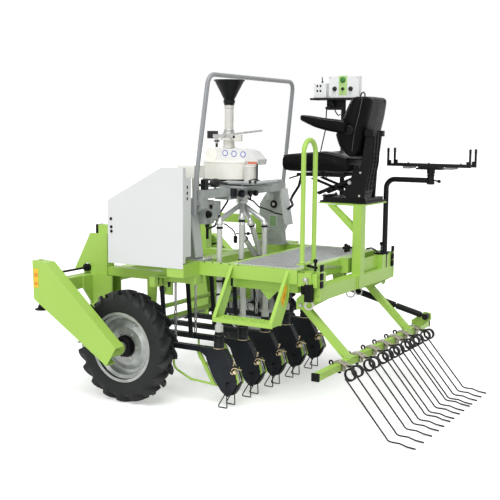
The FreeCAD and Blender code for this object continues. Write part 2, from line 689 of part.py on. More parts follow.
def make_coulter_body(y):
    """Curved coulter with the hose cup on its top; its rear edge carries the clamp and the wires."""
    half = coulter_body_width / 2
    front = [(coulter_arm_rear_x, arm_top), (coulter_arm_rear_x, arm_bottom), (-452, 296), (-472, 245), (-491, 205),
             (-522, 151), (-562, 98), (-596, 70), (-614, 66)]
    rear = [(-640, 92), (-668, 143), (-674, 168), (-650, 226), (-618, 288), (-585, 345), (-572, arm_top)]
    body = xz_plate(front + rear, y - half, y + half)
    cup = turned([(0, 0), (0, cup_radius - 4), (8, cup_radius), (30, cup_radius), (34, cup_radius - 4),
                  (40, cup_radius), (62, cup_radius), (66, cup_radius - 4), (cup_top_z - arm_top, cup_radius - 4),
                  (cup_top_z - arm_top, 0)], (hose_x, y, arm_top), Z)
    return fuse([body, cup])


arms = []
bodies = []
skids = []
wires = []
chains = []
for y in rows:
    chain_y = y
    chain_top = 764.0
    if abs(y) > side_beam_y - 60:
        chain_y = math.copysign(side_beam_y - 6 - 10, y)
    arm = bar_between((coulter_pivot_x, y, coulter_pivot_z), (coulter_arm_rear_x, y, coulter_pivot_z),
                      coulter_arm_width, coulter_arm_height)
    bush = ring((coulter_pivot_x, y - 28, coulter_pivot_z), (coulter_pivot_x, y + 28, coulter_pivot_z), 30,
                coulter_pivot_radius)
    arm = arm.cut(cyl((coulter_pivot_x, y - 40, coulter_pivot_z), (coulter_pivot_x, y + 40, coulter_pivot_z), 29))
    arm_parts = [arm, bush, bar_between((-128, y + 24, 707), (-158, y + 24, arm_bottom + 2), 8, 30)]
    if chain_y != y:
        arm_parts.append(box(chain_x - 12, chain_x + 12, min(y, chain_y) - 8, max(y, chain_y) + 8, arm_top - 14, arm_top))
    arms.append(fuse(arm_parts))
    bodies.append(make_coulter_body(y))
    skid = pipe([(-200, y, arm_bottom), (-204, y, 190), (-330, y, 134), (-530, y, 122)], 7, 50)
    strut = bar_between((-385, y, arm_bottom), (-500, y, 124), 10, 24)
    strut = strut.common(box(-700, 0, y - 50, y + 50, 122, arm_bottom))
    skids.append(fuse([skid, strut]).cut(bodies[-1]).cut(arms[-1]))
    for side in (1, -1):
        wy = y + side * 46
        wire = pipe([(-612, wy, 150), (-612, wy, 96), (-556, wy, 4.0), (-622, wy, 4.0), (-618, wy, 90)], 3.5, 7)
        cross = cyl((-612, y + side * coulter_body_width / 2, 152), (-612, wy + side * 7, 152), 6)
        wires.append(fuse([wire, cross]))
    chains.append(make_chain(chain_y, chain_top))
node("coulter_arms", arms)
node("coulter_bodies", bodies)
node("skid_rods", skids)
node("covering_wires", wires)
node("lift_chains", chains)

# ================================================================ platform
pf = []
px0 = platform_rear_x
px1 = cross_beam_x
pz0 = deck_z - cross_beam_height
pf.append(box(px0, px1, platform_left_y - platform_beam, platform_left_y, pz0, deck_z))
pf.append(box(px0, px1, platform_right_y, platform_right_y + platform_beam, pz0, deck_z))
pf.append(box(px0, px0 + platform_beam, platform_right_y, platform_left_y, pz0, deck_z))
pf.append(box(grating_front_x, grating_front_x + 40, platform_right_y, platform_left_y, pz0, deck_z))
pf.append(box(px0, grating_front_x, -170, -60, pz0, deck_z - grating_thickness))
pf.append(box(px0 + 18, grating_front_x, 460, platform_left_y - platform_beam, pz0 - 60, pz0 + 20))
pf.append(xz_plate([(-780, pz0 - 60), (-900, pz0 - 60), (-840, pz0 - 120)], 500, 510))
for y0 in (platform_right_y, platform_right_y + platform_beam - 7):
    pf.append(xz_plate([(-860, pz0), (-740, pz0), (-775, 590), (-825, 590)], y0, y0 + 7))
platform = fuse(pf)
grating = box(px0 + platform_beam, grating_front_x, platform_right_y + platform_beam,
              platform_left_y - platform_beam, deck_z - grating_thickness, deck_z)
node("grating", grating)

# step on the left edge
step_front_x = -608.0
step_rear_x = -1006.0
leg_outline = [(570, 868), (765, 590), (765, 566), (655, 566), (570, 700)]
step_parts = [yz_plate(leg_outline, step_front_x - 6, step_front_x), yz_plate(leg_outline, step_rear_x,
                                                                              step_rear_x + 6)]
edge = [(570, 868), (765, 590), (765, 566), (758, 566), (758, 587), (570, 855)]
step_parts.append(yz_plate(edge, step_front_x - 22, step_front_x))
step_parts.append(yz_plate(edge, step_rear_x, step_rear_x + 22))
tread = box(step_rear_x, step_front_x, 655, 765, 578, 584)
tread = fuse([tread, box(step_rear_x, step_front_x, 759, 765, 560, 584), box(step_rear_x, step_front_x, 655, 661, 560,
                                                                          584)])
for i in range(6):
    for j in range(2):
        cx = step_rear_x + 48 + i * 60
        cy = 686 + j * 46
        tread = tread.fuse(cyl((cx, cy, 578), (cx, cy, 588), 16)).cut(cyl((cx, cy, 570), (cx, cy, 600), 10))
step_parts.append(tread)
step = fuse(step_parts)
node("step", step)

# ================================================================ rear frame with seat post
rf = []
rx0 = rear_beam_x
rx1 = rear_beam_x + rear_beam_size
rz1 = rear_beam_z + rear_beam_size
rf.append(box(rx0, rx1, -520, 535, rear_beam_z, rz1))
for y0 in (520, -575):
    rf.append(xz_plate([(rx0, rear_beam_z), (rx0, 872), (px0, 872), (px0, 792), (rx1 + 10, rear_beam_z)], y0, y0 + 15))
rf.append(box(rx0, rx1, -575, -520, rear_beam_z, rz1))
rf.append(box(rx0, rx0 + post_size, post_y, post_y + post_size, rear_beam_z - 6, seat_plate_z))
rf.append(fuse([box(-1130, -854, -465, -102, seat_plate_z, seat_plate_z + 8),
                box(rx0, -1130, -425, -102, seat_plate_z, seat_plate_z + 8),
                box(rx0, rx0 + post_size + 20, post_y - 20, post_y + post_size, seat_plate_z, seat_plate_z + 8)]))
rf.append(xz_plate([(rx0 + post_size, 1090), (-990, seat_plate_z), (-945, seat_plate_z), (rx0 + post_size, 1040)],
                   post_y + 10, post_y + 50))
rf.append(box(rx0 + 10, px0, 440, 560, 780, 860))
rack_socket_z = rz1 + 88
rf.append(box(rx0, rx0 + 60, -520, -380, rz1, rack_socket_z))
rf.append(xz_plate([(rx1, rear_beam_z + 60), (rx0, rear_beam_z), (harrow_pivot_x - 30, 628),
                    (harrow_pivot_x + 30, 628), (harrow_pivot_x + 30, 690), (rx1, rz1)], harrow_arm_left_y + 21,
                   harrow_arm_left_y + 31))
rf.append(xz_plate([(rx1, rear_beam_z + 60), (rx0, rear_beam_z), (harrow_pivot_x - 30, 628),
                    (harrow_pivot_x + 30, 628), (harrow_pivot_x + 30, 690), (rx1, rz1)], harrow_arm_left_y - 31,
                   harrow_arm_left_y - 21))
rf.append(xz_plate([(rx1, rear_beam_z + 60), (rx0, rear_beam_z), (harrow_pivot_x - 30, 628),
                    (harrow_pivot_x + 30, 628), (harrow_pivot_x + 30, 690), (rx1, rz1)], harrow_arm_right_y + 21,
                   harrow_arm_right_y + 31))
rf.append(xz_plate([(rx1, rear_beam_z + 60), (rx0, rear_beam_z), (harrow_pivot_x - 30, 628),
                    (harrow_pivot_x + 30, 628), (harrow_pivot_x + 30, 690), (rx1, rz1)], harrow_arm_right_y - 31,
                   harrow_arm_right_y - 21))
rack_x = -1175.0
rack_y = -450.0
rack_tube_radius = 17.0
rear_frame = fuse(rf)
rear_frame = rear_frame.cut(cyl((rack_x, rack_y, 780), (rack_x, rack_y, 900), rack_tube_radius + 0.1))

# harrow pins in the rear frame's ears
pin_parts = []
for y in (harrow_arm_left_y, harrow_arm_right_y):
    pin = cyl((harrow_pivot_x, y - 36, harrow_pivot_z), (harrow_pivot_x, y + 36, harrow_pivot_z), 10)
    rear_frame = rear_frame.cut(pin)
    pin_parts.append(pin)
strut_top = (-800.0, strut_y, 616.0)
strut_low = (-1433.0, strut_y, 457.0)
pin = cyl((strut_top[0], strut_y - 30, strut_top[2]), (strut_top[0], strut_y + 30, strut_top[2]), 8)
platform = platform.cut(pin)
pin_parts.append(pin)
node("platform_frame", platform)
node("rear_frame", rear_frame)
node("pins", pins + pin_parts)

# ================================================================ handrail
foot_z = 915.0
rail = pipe([(rail_x, rail_y + rail_spread / 2, foot_z), (rail_x, rail_y + rail_spread / 2, rail_top_z - rail_radius),
             (rail_x, rail_y - rail_spread / 2, rail_top_z - rail_radius), (rail_x, rail_y - rail_spread / 2, foot_z)],
            rail_radius, rail_spread / 2 - 0.5)
rail_foot = box(rail_x - 22, rail_x + 22, rail_y - rail_spread / 2 - 18, rail_y + rail_spread / 2 + 18, foot_z - 8,
                foot_z)
stem = box(rail_x - 15, rail_x + 15, rail_y - 18, rail_y + 18, 860, foot_z - 8)
node("handrail", fuse([rail, rail_foot, stem]))

# ================================================================ seat
seat_y = -230.0
sz = seat_plate_z + 8
seat_base = fuse([box(-1185, -865, -418, -106, sz, sz + 12), box(-1172, -880, -406, -118, sz + 12, sz + 34)])
node("seat_base", seat_base)
housing = xz_plate([(-1050, sz + 34), (-1130, sz + 34), (-1225, 1680), (-1170, 1680), (-1105, 1400), (-1000, 1400),
                    (-1000, 1370), (-1080, 1370)], seat_y - 85, seat_y + 150)
housing = housing.common(yz_plate([(-120, sz + 34), (-150, sz + 34), (-212, 1427), (-315, 1665), (-315, 1690), (-80, 1690),
                                   (-80, 1300)], -1300, -900))
housing = housing.cut(box(-1300, -1100, -213, -171, 1571, 1651))
seat_mechanism = fuse([housing, box(-1060, -720, seat_y - 180, seat_y + 180, 1380, 1400)])
node("seat_suspension", seat_mechanism)
cushion_half = 235.0
cushion = xz_plate([(-665, 1424), (-642, 1436), (-636, 1500), (-650, 1517), (-795, 1528), (-913, 1540), (-1000, 1524),
                    (-1092, 1505), (-1098, 1440), (-1094, 1400.3), (-700, 1400.3)], seat_y - cushion_half,
                   seat_y + cushion_half)
node("seat_cushion", cushion)
back_half = 205.0
bolster = 55.0
bolster_outline = [(-1112, 1508), (-1070, 1521), (-1015, 1582), (-993, 1643), (-1038, 1741), (-1095, 1869), (-1120, 1880),
                   (-1172, 1868), (-1216, 1790), (-1228, 1700), (-1190, 1690), (-1148, 1508)]
panel_outline = [(-1100, 1508), (-1062, 1560), (-1050, 1643), (-1085, 1741), (-1118, 1872), (-1172, 1868), (-1216, 1790),
                 (-1228, 1700), (-1190, 1690), (-1148, 1508)]
back = fuse([xz_plate(bolster_outline, seat_y + back_half - bolster, seat_y + back_half),
             xz_plate(bolster_outline, seat_y - back_half, seat_y - back_half + bolster),
             xz_plate(panel_outline, seat_y - back_half + bolster, seat_y + back_half - bolster)])
back_front = yz_plate([(seat_y - back_half, 1500), (seat_y - back_half, 1700), (seat_y - 150, 1885), (seat_y + 175, 1885),
                       (seat_y + back_half, 1760), (seat_y + back_half, 1500)], -1300, -900)
back = back.common(back_front).cut(xz_plate([(-1050, sz + 34), (-1130, sz + 34), (-1225, 1680), (-1225, 1690),
                                             (-1172, 1690), (-1169.7, 1680), (-1104.7, 1400)], seat_y - 85.3,
                                            seat_y + 150.3))
back = back.cut(cushion)
node("seat_back", back)
armrest = xz_plate([(-783, 1764), (-784, 1727), (-875, 1691), (-971, 1667), (-1039, 1656), (-1084, 1654), (-1090, 1729),
                    (-963, 1740)], seat_y + back_half + 10, seat_y + back_half + 70)
armrest_hinge = box(-1130, -1070, seat_y + back_half + 0.3, seat_y + back_half + 55, 1630, 1720)
node("armrest", [fuse([armrest, armrest_hinge])])
column_x = -825.0
column_y = -520.0
tray_top = 1884.0
tray_bottom = tray_top - 14
column = fuse([cyl((column_x, column_y, sz), (column_x, column_y, tray_bottom), 16),
               box(column_x - 80, column_x + 20, column_y - 20, column_y + 101.7, sz, sz + 12)])
tray = fuse([box(column_x - 125, column_x + 217, column_y - 40, column_y + 70, tray_bottom, tray_top),
             box(column_x, column_x + 119, column_y - 12, column_y + 12, tray_bottom - 64, tray_bottom)])
node("control_column", fuse([column, tray]))
control_box = box(column_x - 125, column_x + 93, column_y - 10, column_y + 42, tray_top, tray_top + 146)
controller = box(column_x + 113, column_x + 205, column_y - 10, column_y + 38, tray_top, tray_top + 101)
node("control_boxes", [control_box, controller])

# ================================================================ cables and hoses along the machine
seat_hose = pipe([(-423, -505, 1120), (-462, -505, 1150), (-500, -400, 1196), (-566, -300, 1232), (-617, -290, 1300),
                  (-650, -270, 1386), (-740, -240, 1388)], 9, 26)
gear_cable = pipe([(-350, 176, 1262), (-350, 180, 1215), (-350, 266, 1150), (-350, 330, 1068), (-350, 436, 1056),
                   (-350, 436, 1100)], 6, 26)
head_cable = pipe([(-372, -20, 1222), (-398, -62, 1204), (-404, -130, 1160), (-404, -240, 1136), (-392, -380, 1100),
                   (-392, -480, 1082)], 5, 30)
box_cable = pipe([(-700, -520, 1820), (-694, -520, 1672), (-660, -520, 1524), (-720, -500, 1340), (-890, -405, 1300),
                  (-890, -405, sz + 5)], 4, 30)
nose_pipe = cyl((-490, 46, nose_foot_z - 0.3), (-490, 46, cup_floor_z), 4)
cables = [seat_hose.cut(right_cover).cut(seat_mechanism), gear_cable.cut(bridge_all).cut(gearbox),
          head_cable.cut(head).cut(right_tower), box_cable.cut(tray).cut(seat_base), nose_pipe]
node("cables", cables)

# ================================================================ box rack on its swinging arm
rack_bend = (rack_x, rack_y, 1360.0)
rack_end = (-1475.0, rack_y, 1360.0)
rack_arm = pipe([(rack_x, rack_y, rz1), rack_bend, rack_end], rack_tube_radius, 60)
collar = ring((rack_x, rack_y, rack_socket_z), (rack_x, rack_y, rack_socket_z + 12), 26, rack_tube_radius)
rack_post_radius = 12.0
head_socket = cyl((rack_end[0], rack_y, 1335), (rack_end[0], rack_y, 1400), 22)
head_bore = cyl((rack_end[0], rack_y, 1345), (rack_end[0], rack_y, 1401), rack_post_radius + 0.1)
node("rack_arm", fuse([rack_arm, collar, head_socket]).cut(head_bore))
rack_parts = [cyl((rack_end[0], rack_y, 1345), (rack_end[0], rack_y, 1440), rack_post_radius),
              cyl((rack_end[0], rack_y, 1400), (rack_end[0], rack_y, 1440), 17)]
rack_parts.append(box(-1540, -1410, rack_y - 60, rack_y + 60, 1440, 1448))
for y in (rack_y - 62, rack_y + 50):
    rack_parts.append(box(-1750, -1200, y, y + 12, 1448, 1466))
    for x in (-1750, -1212):
        rack_parts.append(box(x, x + 12, y, y + 12, 1448, 1555))
for x in (-1700, -1480, -1250):
    rack_parts.append(box(x, x + 20, rack_y - 62, rack_y + 62, 1448, 1456))
node("box_rack", fuse(rack_parts))

# ================================================================ harrow
hb = harrow_bar_size / 2
hf = [box(harrow_bar_x - hb, harrow_bar_x + hb, harrow_bar_right_y, harrow_bar_left_y, harrow_bar_z - hb,
          harrow_bar_z + hb)]
for y in (harrow_arm_left_y, harrow_arm_right_y):
    hf.append(bar_between((harrow_pivot_x, y, harrow_pivot_z), (harrow_bar_x, y, harrow_bar_z), harrow_arm_size,
                          harrow_arm_size))
    hf.append(cyl((harrow_pivot_x, y - 20, harrow_pivot_z), (harrow_pivot_x, y + 20, harrow_pivot_z), 24))
hf.append(xz_plate([(harrow_bar_x - 20, harrow_bar_z), (harrow_bar_x + hb, harrow_bar_z),
                    (harrow_bar_x + hb, harrow_bar_z + 60), (strut_low[0] + 22, strut_low[2] + 26),
                    (strut_low[0] - 22, strut_low[2] + 20), (strut_low[0] - 26, strut_low[2] - 20)],
                   strut_y - 38, strut_y - 26))
harrow = fuse(hf).cut(cyl((strut_low[0], strut_y - 60, strut_low[2]), (strut_low[0], strut_y, strut_low[2]), 14))
for y in (harrow_arm_left_y, harrow_arm_right_y):
    harrow = harrow.cut(cyl((harrow_pivot_x, y - 30, harrow_pivot_z), (harrow_pivot_x, y + 30, harrow_pivot_z), 10.1))
node("harrow_frame", harrow)
bridge_z = harrow_bar_z + 6.0
bridge_x = harrow_bar_x - hb - tine_wire - 0.5


def make_tine(leg_y, side):
    """One spring leg with its coil; side is +1 when the coil runs on towards -Y from the leg."""
    dx = tine_coil_x - tine_kink_x
    dz = tine_coil_z - tine_kink_z
    reach = math.hypot(dx, dz)
    lean = math.atan2(dz, dx) - math.asin(tine_coil_radius / reach)
    run = math.sqrt(reach ** 2 - tine_coil_radius ** 2)
    start = (tine_kink_x + run * math.cos(lean), leg_y, tine_kink_z + run * math.sin(lean))
    mid_x = (tine_kink_x + tine_tip_x) / 2
    leg = pipe([start, (tine_kink_x, leg_y, tine_kink_z), (mid_x, leg_y, tine_kink_z - 6), (tine_tip_x + 1, leg_y,
                                                                                           tine_wire + 0.5)],
               tine_wire, 16)
    profile = []
    for i in range(tine_turns):
        a = -side * i * tine_turn_pitch
        step = -side * tine_turn_pitch / 2
        profile.append((a - step * 0.75, tine_coil_radius + 1))
        profile.append((a - step * 0.4, tine_coil_radius + tine_wire))
        profile.append((a + step * 0.4, tine_coil_radius + tine_wire))
        profile.append((a + step * 0.75, tine_coil_radius + 1))
    inner = tine_coil_radius - tine_wire
    profile = profile + [(profile[-1][0], inner), (profile[0][0], inner)]
    coil = turned(profile, (tine_coil_x, leg_y, tine_coil_z))
    end_y = leg_y - side * (tine_turns - 1) * tine_turn_pitch
    return leg, coil, end_y


tines = []
clamps = []
for left_y, right_y in tine_pairs:
    clamp_y = right_y - tine_clamp_offset
    clamp_low = clamp_y - tine_clamp_width / 2
    clamp_high = clamp_y + tine_clamp_width / 2
    pieces = []
    for leg_y, side in ((left_y, 1), (right_y, -1)):
        leg, coil, end_y = make_tine(leg_y, side)
        root = pipe([(tine_coil_x, end_y, tine_coil_z + tine_coil_radius),
                     (tine_coil_x + 40, end_y, tine_coil_z + tine_coil_radius),
                     (bridge_x, end_y, bridge_z)], tine_wire - 0.4, 12)
        pieces.extend([leg, coil, root])
    pieces.append(cyl((bridge_x, clamp_low - 6, bridge_z), (bridge_x, left_y, bridge_z), tine_wire))
    tines.append(fuse(pieces))
    saddle_x = bridge_x - tine_wire - 0.3
    saddle = box(saddle_x - 5, harrow_bar_x + hb, clamp_low, clamp_high, harrow_bar_z - hb - 5, harrow_bar_z + hb + 5)
    saddle = saddle.cut(box(saddle_x, harrow_bar_x + hb + 1, clamp_low - 1, clamp_high + 1, harrow_bar_z - hb,
                            harrow_bar_z + hb))
    clamps.append(saddle)
node("harrow_tines", tines)
node("tine_clamps", clamps)
cap = 14.0
node("harrow_caps", [box(harrow_bar_x - hb - 2, harrow_bar_x + hb + 2, harrow_bar_right_y - cap, harrow_bar_right_y,
                         harrow_bar_z - hb - 2, harrow_bar_z + hb + 2),
                     box(harrow_bar_x - hb - 2, harrow_bar_x + hb + 2, harrow_bar_left_y, harrow_bar_left_y + cap,
                         harrow_bar_z - hb - 2, harrow_bar_z + hb + 2)])

d = V(*strut_low).sub(V(*strut_top))
length = d.Length
u = V(d)
u.normalize()


def on_strut(t):
    """Point on the strut's axis, t millimetres below its upper pin."""
    p = V(*strut_top).add(u * t)
    return (p.x, p.y, p.z)


barrel = fuse([cyl(on_strut(0), on_strut(430), 15),
               cyl((strut_top[0], strut_y - 15, strut_top[2]), (strut_top[0], strut_y + 15, strut_top[2]), 19)])
barrel = barrel.cut(cyl(on_strut(60), on_strut(431), 10.1))
barrel = barrel.cut(cyl((strut_top[0], strut_y - 30, strut_top[2]), (strut_top[0], strut_y + 30, strut_top[2]), 8.1))
node("strut_barrel", barrel)
rod_eye = [cyl((strut_low[0], strut_y - 20, strut_low[2]), (strut_low[0], strut_y + 22, strut_low[2]), 20),
           cyl((strut_low[0], strut_y - 44, strut_low[2]), (strut_low[0], strut_y - 20, strut_low[2]), 8),
           cyl((strut_low[0], strut_y - 50, strut_low[2]), (strut_low[0], strut_y - 44, strut_low[2]), 20)]
strut_rod = fuse([cyl(on_strut(200), on_strut(length - 10), 10)] + rod_eye)
node("strut_rod", strut_rod)

# ================================================================ write the files
# the origin of the finished piece lies on the ground under the middle of its length
front_x = lower_pin_x + 40.0
middle_x = (front_x + tine_tip_x) / 2
for name, shape in nodes.items():
    shape = shape.copy()
    shape.translate(V(-middle_x, 0, 0))
    shape.exportStep("parts/" + name + ".step")
print(len(nodes), "nodes")
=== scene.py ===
import bpy
import bmesh
import math
from mathutils import Matrix, Vector


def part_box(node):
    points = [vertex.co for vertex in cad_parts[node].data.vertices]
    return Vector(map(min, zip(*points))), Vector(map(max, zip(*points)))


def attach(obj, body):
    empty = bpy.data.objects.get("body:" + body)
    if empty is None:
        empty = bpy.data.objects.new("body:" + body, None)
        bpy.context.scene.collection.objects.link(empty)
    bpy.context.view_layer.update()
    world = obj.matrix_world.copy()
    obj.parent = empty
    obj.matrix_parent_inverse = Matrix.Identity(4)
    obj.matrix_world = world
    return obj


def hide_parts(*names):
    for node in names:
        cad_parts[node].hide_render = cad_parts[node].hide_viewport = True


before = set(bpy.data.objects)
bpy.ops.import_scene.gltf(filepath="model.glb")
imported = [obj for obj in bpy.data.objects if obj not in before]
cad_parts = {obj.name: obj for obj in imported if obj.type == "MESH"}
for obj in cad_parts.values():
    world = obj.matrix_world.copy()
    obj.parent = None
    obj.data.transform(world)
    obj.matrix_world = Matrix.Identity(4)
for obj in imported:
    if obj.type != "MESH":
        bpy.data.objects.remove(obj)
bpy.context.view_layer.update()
scene = bpy.context.scene

# ---------------------------------------------------------------- camera, floor and light
# A plain studio: the seeder stands on a pale floor with two wide soft lamps on its left, one high
# and one lower, and the white room fills the shade. The camera stands at the left rear.
scene.view_settings.view_transform = "Standard"
camera_data = bpy.data.cameras.new("studio_camera")
camera_data.lens = 69.32
camera_data.sensor_width = 36.0
camera = bpy.data.objects.new("studio_camera", camera_data)
scene.collection.objects.link(camera)
scene.camera = camera
heading = math.radians(-59.847)
pitch = math.radians(7.284)
roll = math.radians(0.56)
look = Vector((math.cos(heading) * math.cos(pitch), math.sin(heading) * math.cos(pitch), -math.sin(pitch)))
turn = look.to_track_quat("-Z", "Y").to_matrix().to_4x4() @ Matrix.Rotation(roll, 4, "Z")
camera.matrix_world = Matrix.Translation((-2.934, 5.423, 1.687)) @ turn


class Wire:
    """One shader socket; arithmetic on it adds the Math nodes."""

    def __init__(self, finish, socket):
        self.finish = finish
        self.socket = socket

    def maths(self, operation, a, b):
        return self.finish.node("ShaderNodeMath", {"operation": operation}, {0: a, 1: b})

    def __radd__(self, other):
        return self.maths("ADD", other, self)

    def __rsub__(self, other):
        return self.maths("SUBTRACT", other, self)

    def __mul__(self, other):
        return self.maths("MULTIPLY", self, other)


class Finish:
    """A procedural material; node() adds any node, feed() joins a value or wire to the shader."""

    def __init__(self, name):
        self.material = bpy.data.materials.new(name)
        self.material.use_nodes = True
        self.tree = self.material.node_tree
        self.shader = self.tree.nodes["Principled BSDF"]
        self.place = self.node("ShaderNodeTexCoord", out="Object")

    def node(self, kind, settings=None, inputs=None, out=0):
        """New node with its settings and inputs, as the wire of one of its outputs."""
        new = self.tree.nodes.new(kind)
        for key, value in (settings or {}).items():
            if key == "stops":
                ramp = new.color_ramp.elements
                while len(ramp) < len(value):
                    ramp.new(0.5)
                for stop, (at, colour) in zip(ramp, value):
                    stop.position = at
                    stop.color = colour
            else:
                setattr(new, key, value)
        for key, value in (inputs or {}).items():
            if isinstance(value, Wire):
                self.tree.links.new(value.socket, new.inputs[key])
            elif value is not None:
                new.inputs[key].default_value = value
        return Wire(self, new.outputs[out])

    def mixed(self, factor, a, b):
        """Colour a where factor is 0, colour b where it is 1."""
        return self.node("ShaderNodeMix", {"data_type": "RGBA"}, {0: factor, 6: a, 7: b}, out=2)

    def speckle(self, scale, detail=3.0, low=0.35, high=0.65):
        """Noise over the surface, stretched to run from 0 to 1 between low and high."""
        grain = self.node("ShaderNodeTexNoise", None,
                          {"Vector": self.place, "Scale": scale, "Detail": detail})
        return self.node("ShaderNodeMapRange", {"clamp": True}, {0: grain, 1: low, 2: high, 3: 0.0, 4: 1.0})

    def edges(self, width):
        """1 along outer edges and in corners, 0 on the flats."""
        rounded = self.node("ShaderNodeBevel", {"samples": 4}, {"Radius": width})
        flat = self.node("ShaderNodeNewGeometry", out="Normal")
        same = self.node("ShaderNodeVectorMath", {"operation": "DOT_PRODUCT"}, {0: rounded, 1: flat},
                         out="Value")
        return self.node("ShaderNodeMapRange", {"clamp": True},
                         {0: 1.0 - same, 1: 0.01, 2: 0.22, 3: 0.0, 4: 1.0})

    def feed(self, **values):
        """Values or wires for the shader's own inputs."""
        for key, value in values.items():
            socket = self.shader.inputs[key.replace("_", " ")]
            if isinstance(value, Wire):
                self.tree.links.new(value.socket, socket)
            else:
                socket.default_value = value

    def relief(self, height, depth, edge_width=0.0):
        """Bump from a height wire, over softly rounded edges where edge_width is given."""
        inputs = {"Height": height, "Distance": depth, "Strength": 1.0}
        if edge_width:
            inputs["Normal"] = self.node("ShaderNodeBevel", {"samples": 4}, {"Radius": edge_width})
        self.feed(Normal=self.node("ShaderNodeBump", None, inputs))


def rgb(red, green, blue):
    """Linear colour from the usual 0 to 255 values."""
    channels = [c / 255 for c in (red, green, blue)]
    return tuple(c / 12.92 if c < 0.04045 else ((c + 0.055) / 1.055) ** 2.4 for c in channels) + (1.0,)


def white_where_seen(tree, own, glow, out):
    """The shader that light meets, with a white glow added wherever an eye or a mirror looks at it."""
    path = tree.nodes.new("ShaderNodeLightPath")
    either = tree.nodes.new("ShaderNodeMath")
    either.operation = "MAXIMUM"
    any_of = tree.nodes.new("ShaderNodeMath")
    any_of.operation = "MAXIMUM"
    pick = tree.nodes.new("ShaderNodeMixShader")
    join = tree.links.new
    join(path.outputs["Is Camera Ray"], either.inputs[0])
    join(path.outputs["Is Glossy Ray"], either.inputs[1])
    join(either.outputs[0], any_of.inputs[0])
    join(path.outputs["Is Transmission Ray"], any_of.inputs[1])
    join(any_of.outputs[0], pick.inputs[0])
    join(own, pick.inputs[1])
    join(glow, pick.inputs[2])
    join(pick.outputs[0], out)


floor_finish = Finish("studio_floor")
floor_drift = floor_finish.speckle(0.7, 1.0, 0.0, 1.0)
floor_finish.feed(Base_Color=floor_finish.mixed(floor_drift, rgb(236, 236, 237), rgb(238, 238, 238)),
                  Roughness=1.0, Specular_IOR_Level=0.0)
floor_glow = floor_finish.tree.nodes.new("ShaderNodeEmission")
floor_glow.inputs["Strength"].default_value = 0.42
floor_seen = floor_finish.tree.nodes.new("ShaderNodeAddShader")
floor_finish.tree.links.new(floor_finish.shader.outputs[0], floor_seen.inputs[0])
floor_finish.tree.links.new(floor_glow.outputs[0], floor_seen.inputs[1])
white_where_seen(floor_finish.tree, floor_finish.shader.outputs[0], floor_seen.outputs[0],
                 floor_finish.tree.nodes["Material Output"].inputs["Surface"])
floor_mesh = bpy.data.meshes.new("studio_floor")
floor_mesh.from_pydata([(-60, -60, -0.001), (60, -60, -0.001), (60, 60, -0.001), (-60, 60, -0.001)], [],
                       [(0, 1, 2, 3)])
floor_mesh.materials.append(floor_finish.material)
floor = bpy.data.objects.new("studio_floor", floor_mesh)
scene.collection.objects.link(floor)

world = bpy.data.worlds.new("studio_world")
scene.world = world
world.use_nodes = True
sky = world.node_tree.nodes["Background"]
sky.inputs["Color"].default_value = (1.0, 1.0, 1.0, 1.0)
sky.inputs["Strength"].default_value = 0.36
backdrop = world.node_tree.nodes.new("ShaderNodeBackground")
backdrop.inputs["Color"].default_value = (1.0, 1.0, 1.0, 1.0)
backdrop.inputs["Strength"].default_value = 1.0
white_where_seen(world.node_tree, sky.outputs[0], backdrop.outputs[0],
                 world.node_tree.nodes["World Output"].inputs["Surface"])


def soft_sun(name, direction, angle, strength):
    """Wide, even lamp far away, shining along a direction."""
    data = bpy.data.lights.new(name, "SUN")
    data.angle = math.radians(angle)
    data.energy = strength
    lamp = bpy.data.objects.new(name, data)
    lamp.rotation_euler = Vector(direction).to_track_quat("-Z", "Y").to_euler()
    scene.collection.objects.link(lamp)


soft_sun("key_lamp", (0.24, -0.48, -1.0), 44, 2.35)
soft_sun("side_lamp", (0.12, -1.0, -0.30), 50, 0.85)

# ---------------------------------------------------------------- finishes of the CAD pieces
# Powder-coated, cast, zinc-plated and moulded surfaces of the solids that stay as they are. The frame
# is welded tube in light green, the towers are grey castings, and the coulters nearly black ones.


def painted(name, colour, shade, roughness=0.38, wear=rgb(225, 235, 200), coat=0.12, shine=0.35):
    """Powder coat on steel: even colour with a fine skin, slightly paler along the edges."""
    finish = Finish(name)
    drift = finish.speckle(2.5, 2.0)
    rub = finish.edges(0.0025)
    body = finish.mixed(drift * 0.35, colour, shade)
    finish.feed(Base_Color=finish.mixed(rub * 0.2, body, wear), Metallic=0.0, Coat_Weight=coat,
                Coat_Roughness=0.2, Roughness=roughness + finish.speckle(60.0) * 0.08,
                Specular_IOR_Level=shine)
    finish.relief(finish.speckle(900.0, 1.0, 0.2, 0.8), 0.00008, 0.0025)
    return finish.material


def bare_metal(name, colour, shade, roughness=0.35, grain=250.0, metallic=0.9):
    """Zinc plate or machined metal: cloudy, with fine scratches."""
    finish = Finish(name)
    cloud = finish.speckle(18.0, 4.0)
    finish.feed(Base_Color=finish.mixed(cloud, colour, shade), Metallic=metallic,
                Roughness=roughness + finish.speckle(grain) * 0.15)
    finish.relief(finish.speckle(grain, 2.0, 0.2, 0.8), 0.0001, 0.0015)
    return finish.material


def casting(name, colour, shade, roughness, metallic, shine=0.4):
    """Sand-cast metal under thin paint."""
    finish = Finish(name)
    cloud = finish.speckle(9.0, 5.0)
    rub = finish.edges(0.002)
    body = finish.mixed(cloud, colour, shade)
    finish.feed(Base_Color=finish.mixed(rub * 0.35, body, rgb(190, 190, 188)), Metallic=metallic,
                Roughness=roughness, Specular_IOR_Level=shine)
    finish.relief(finish.speckle(420.0, 3.0, 0.2, 0.8), 0.0004, 0.002)
    return finish.material


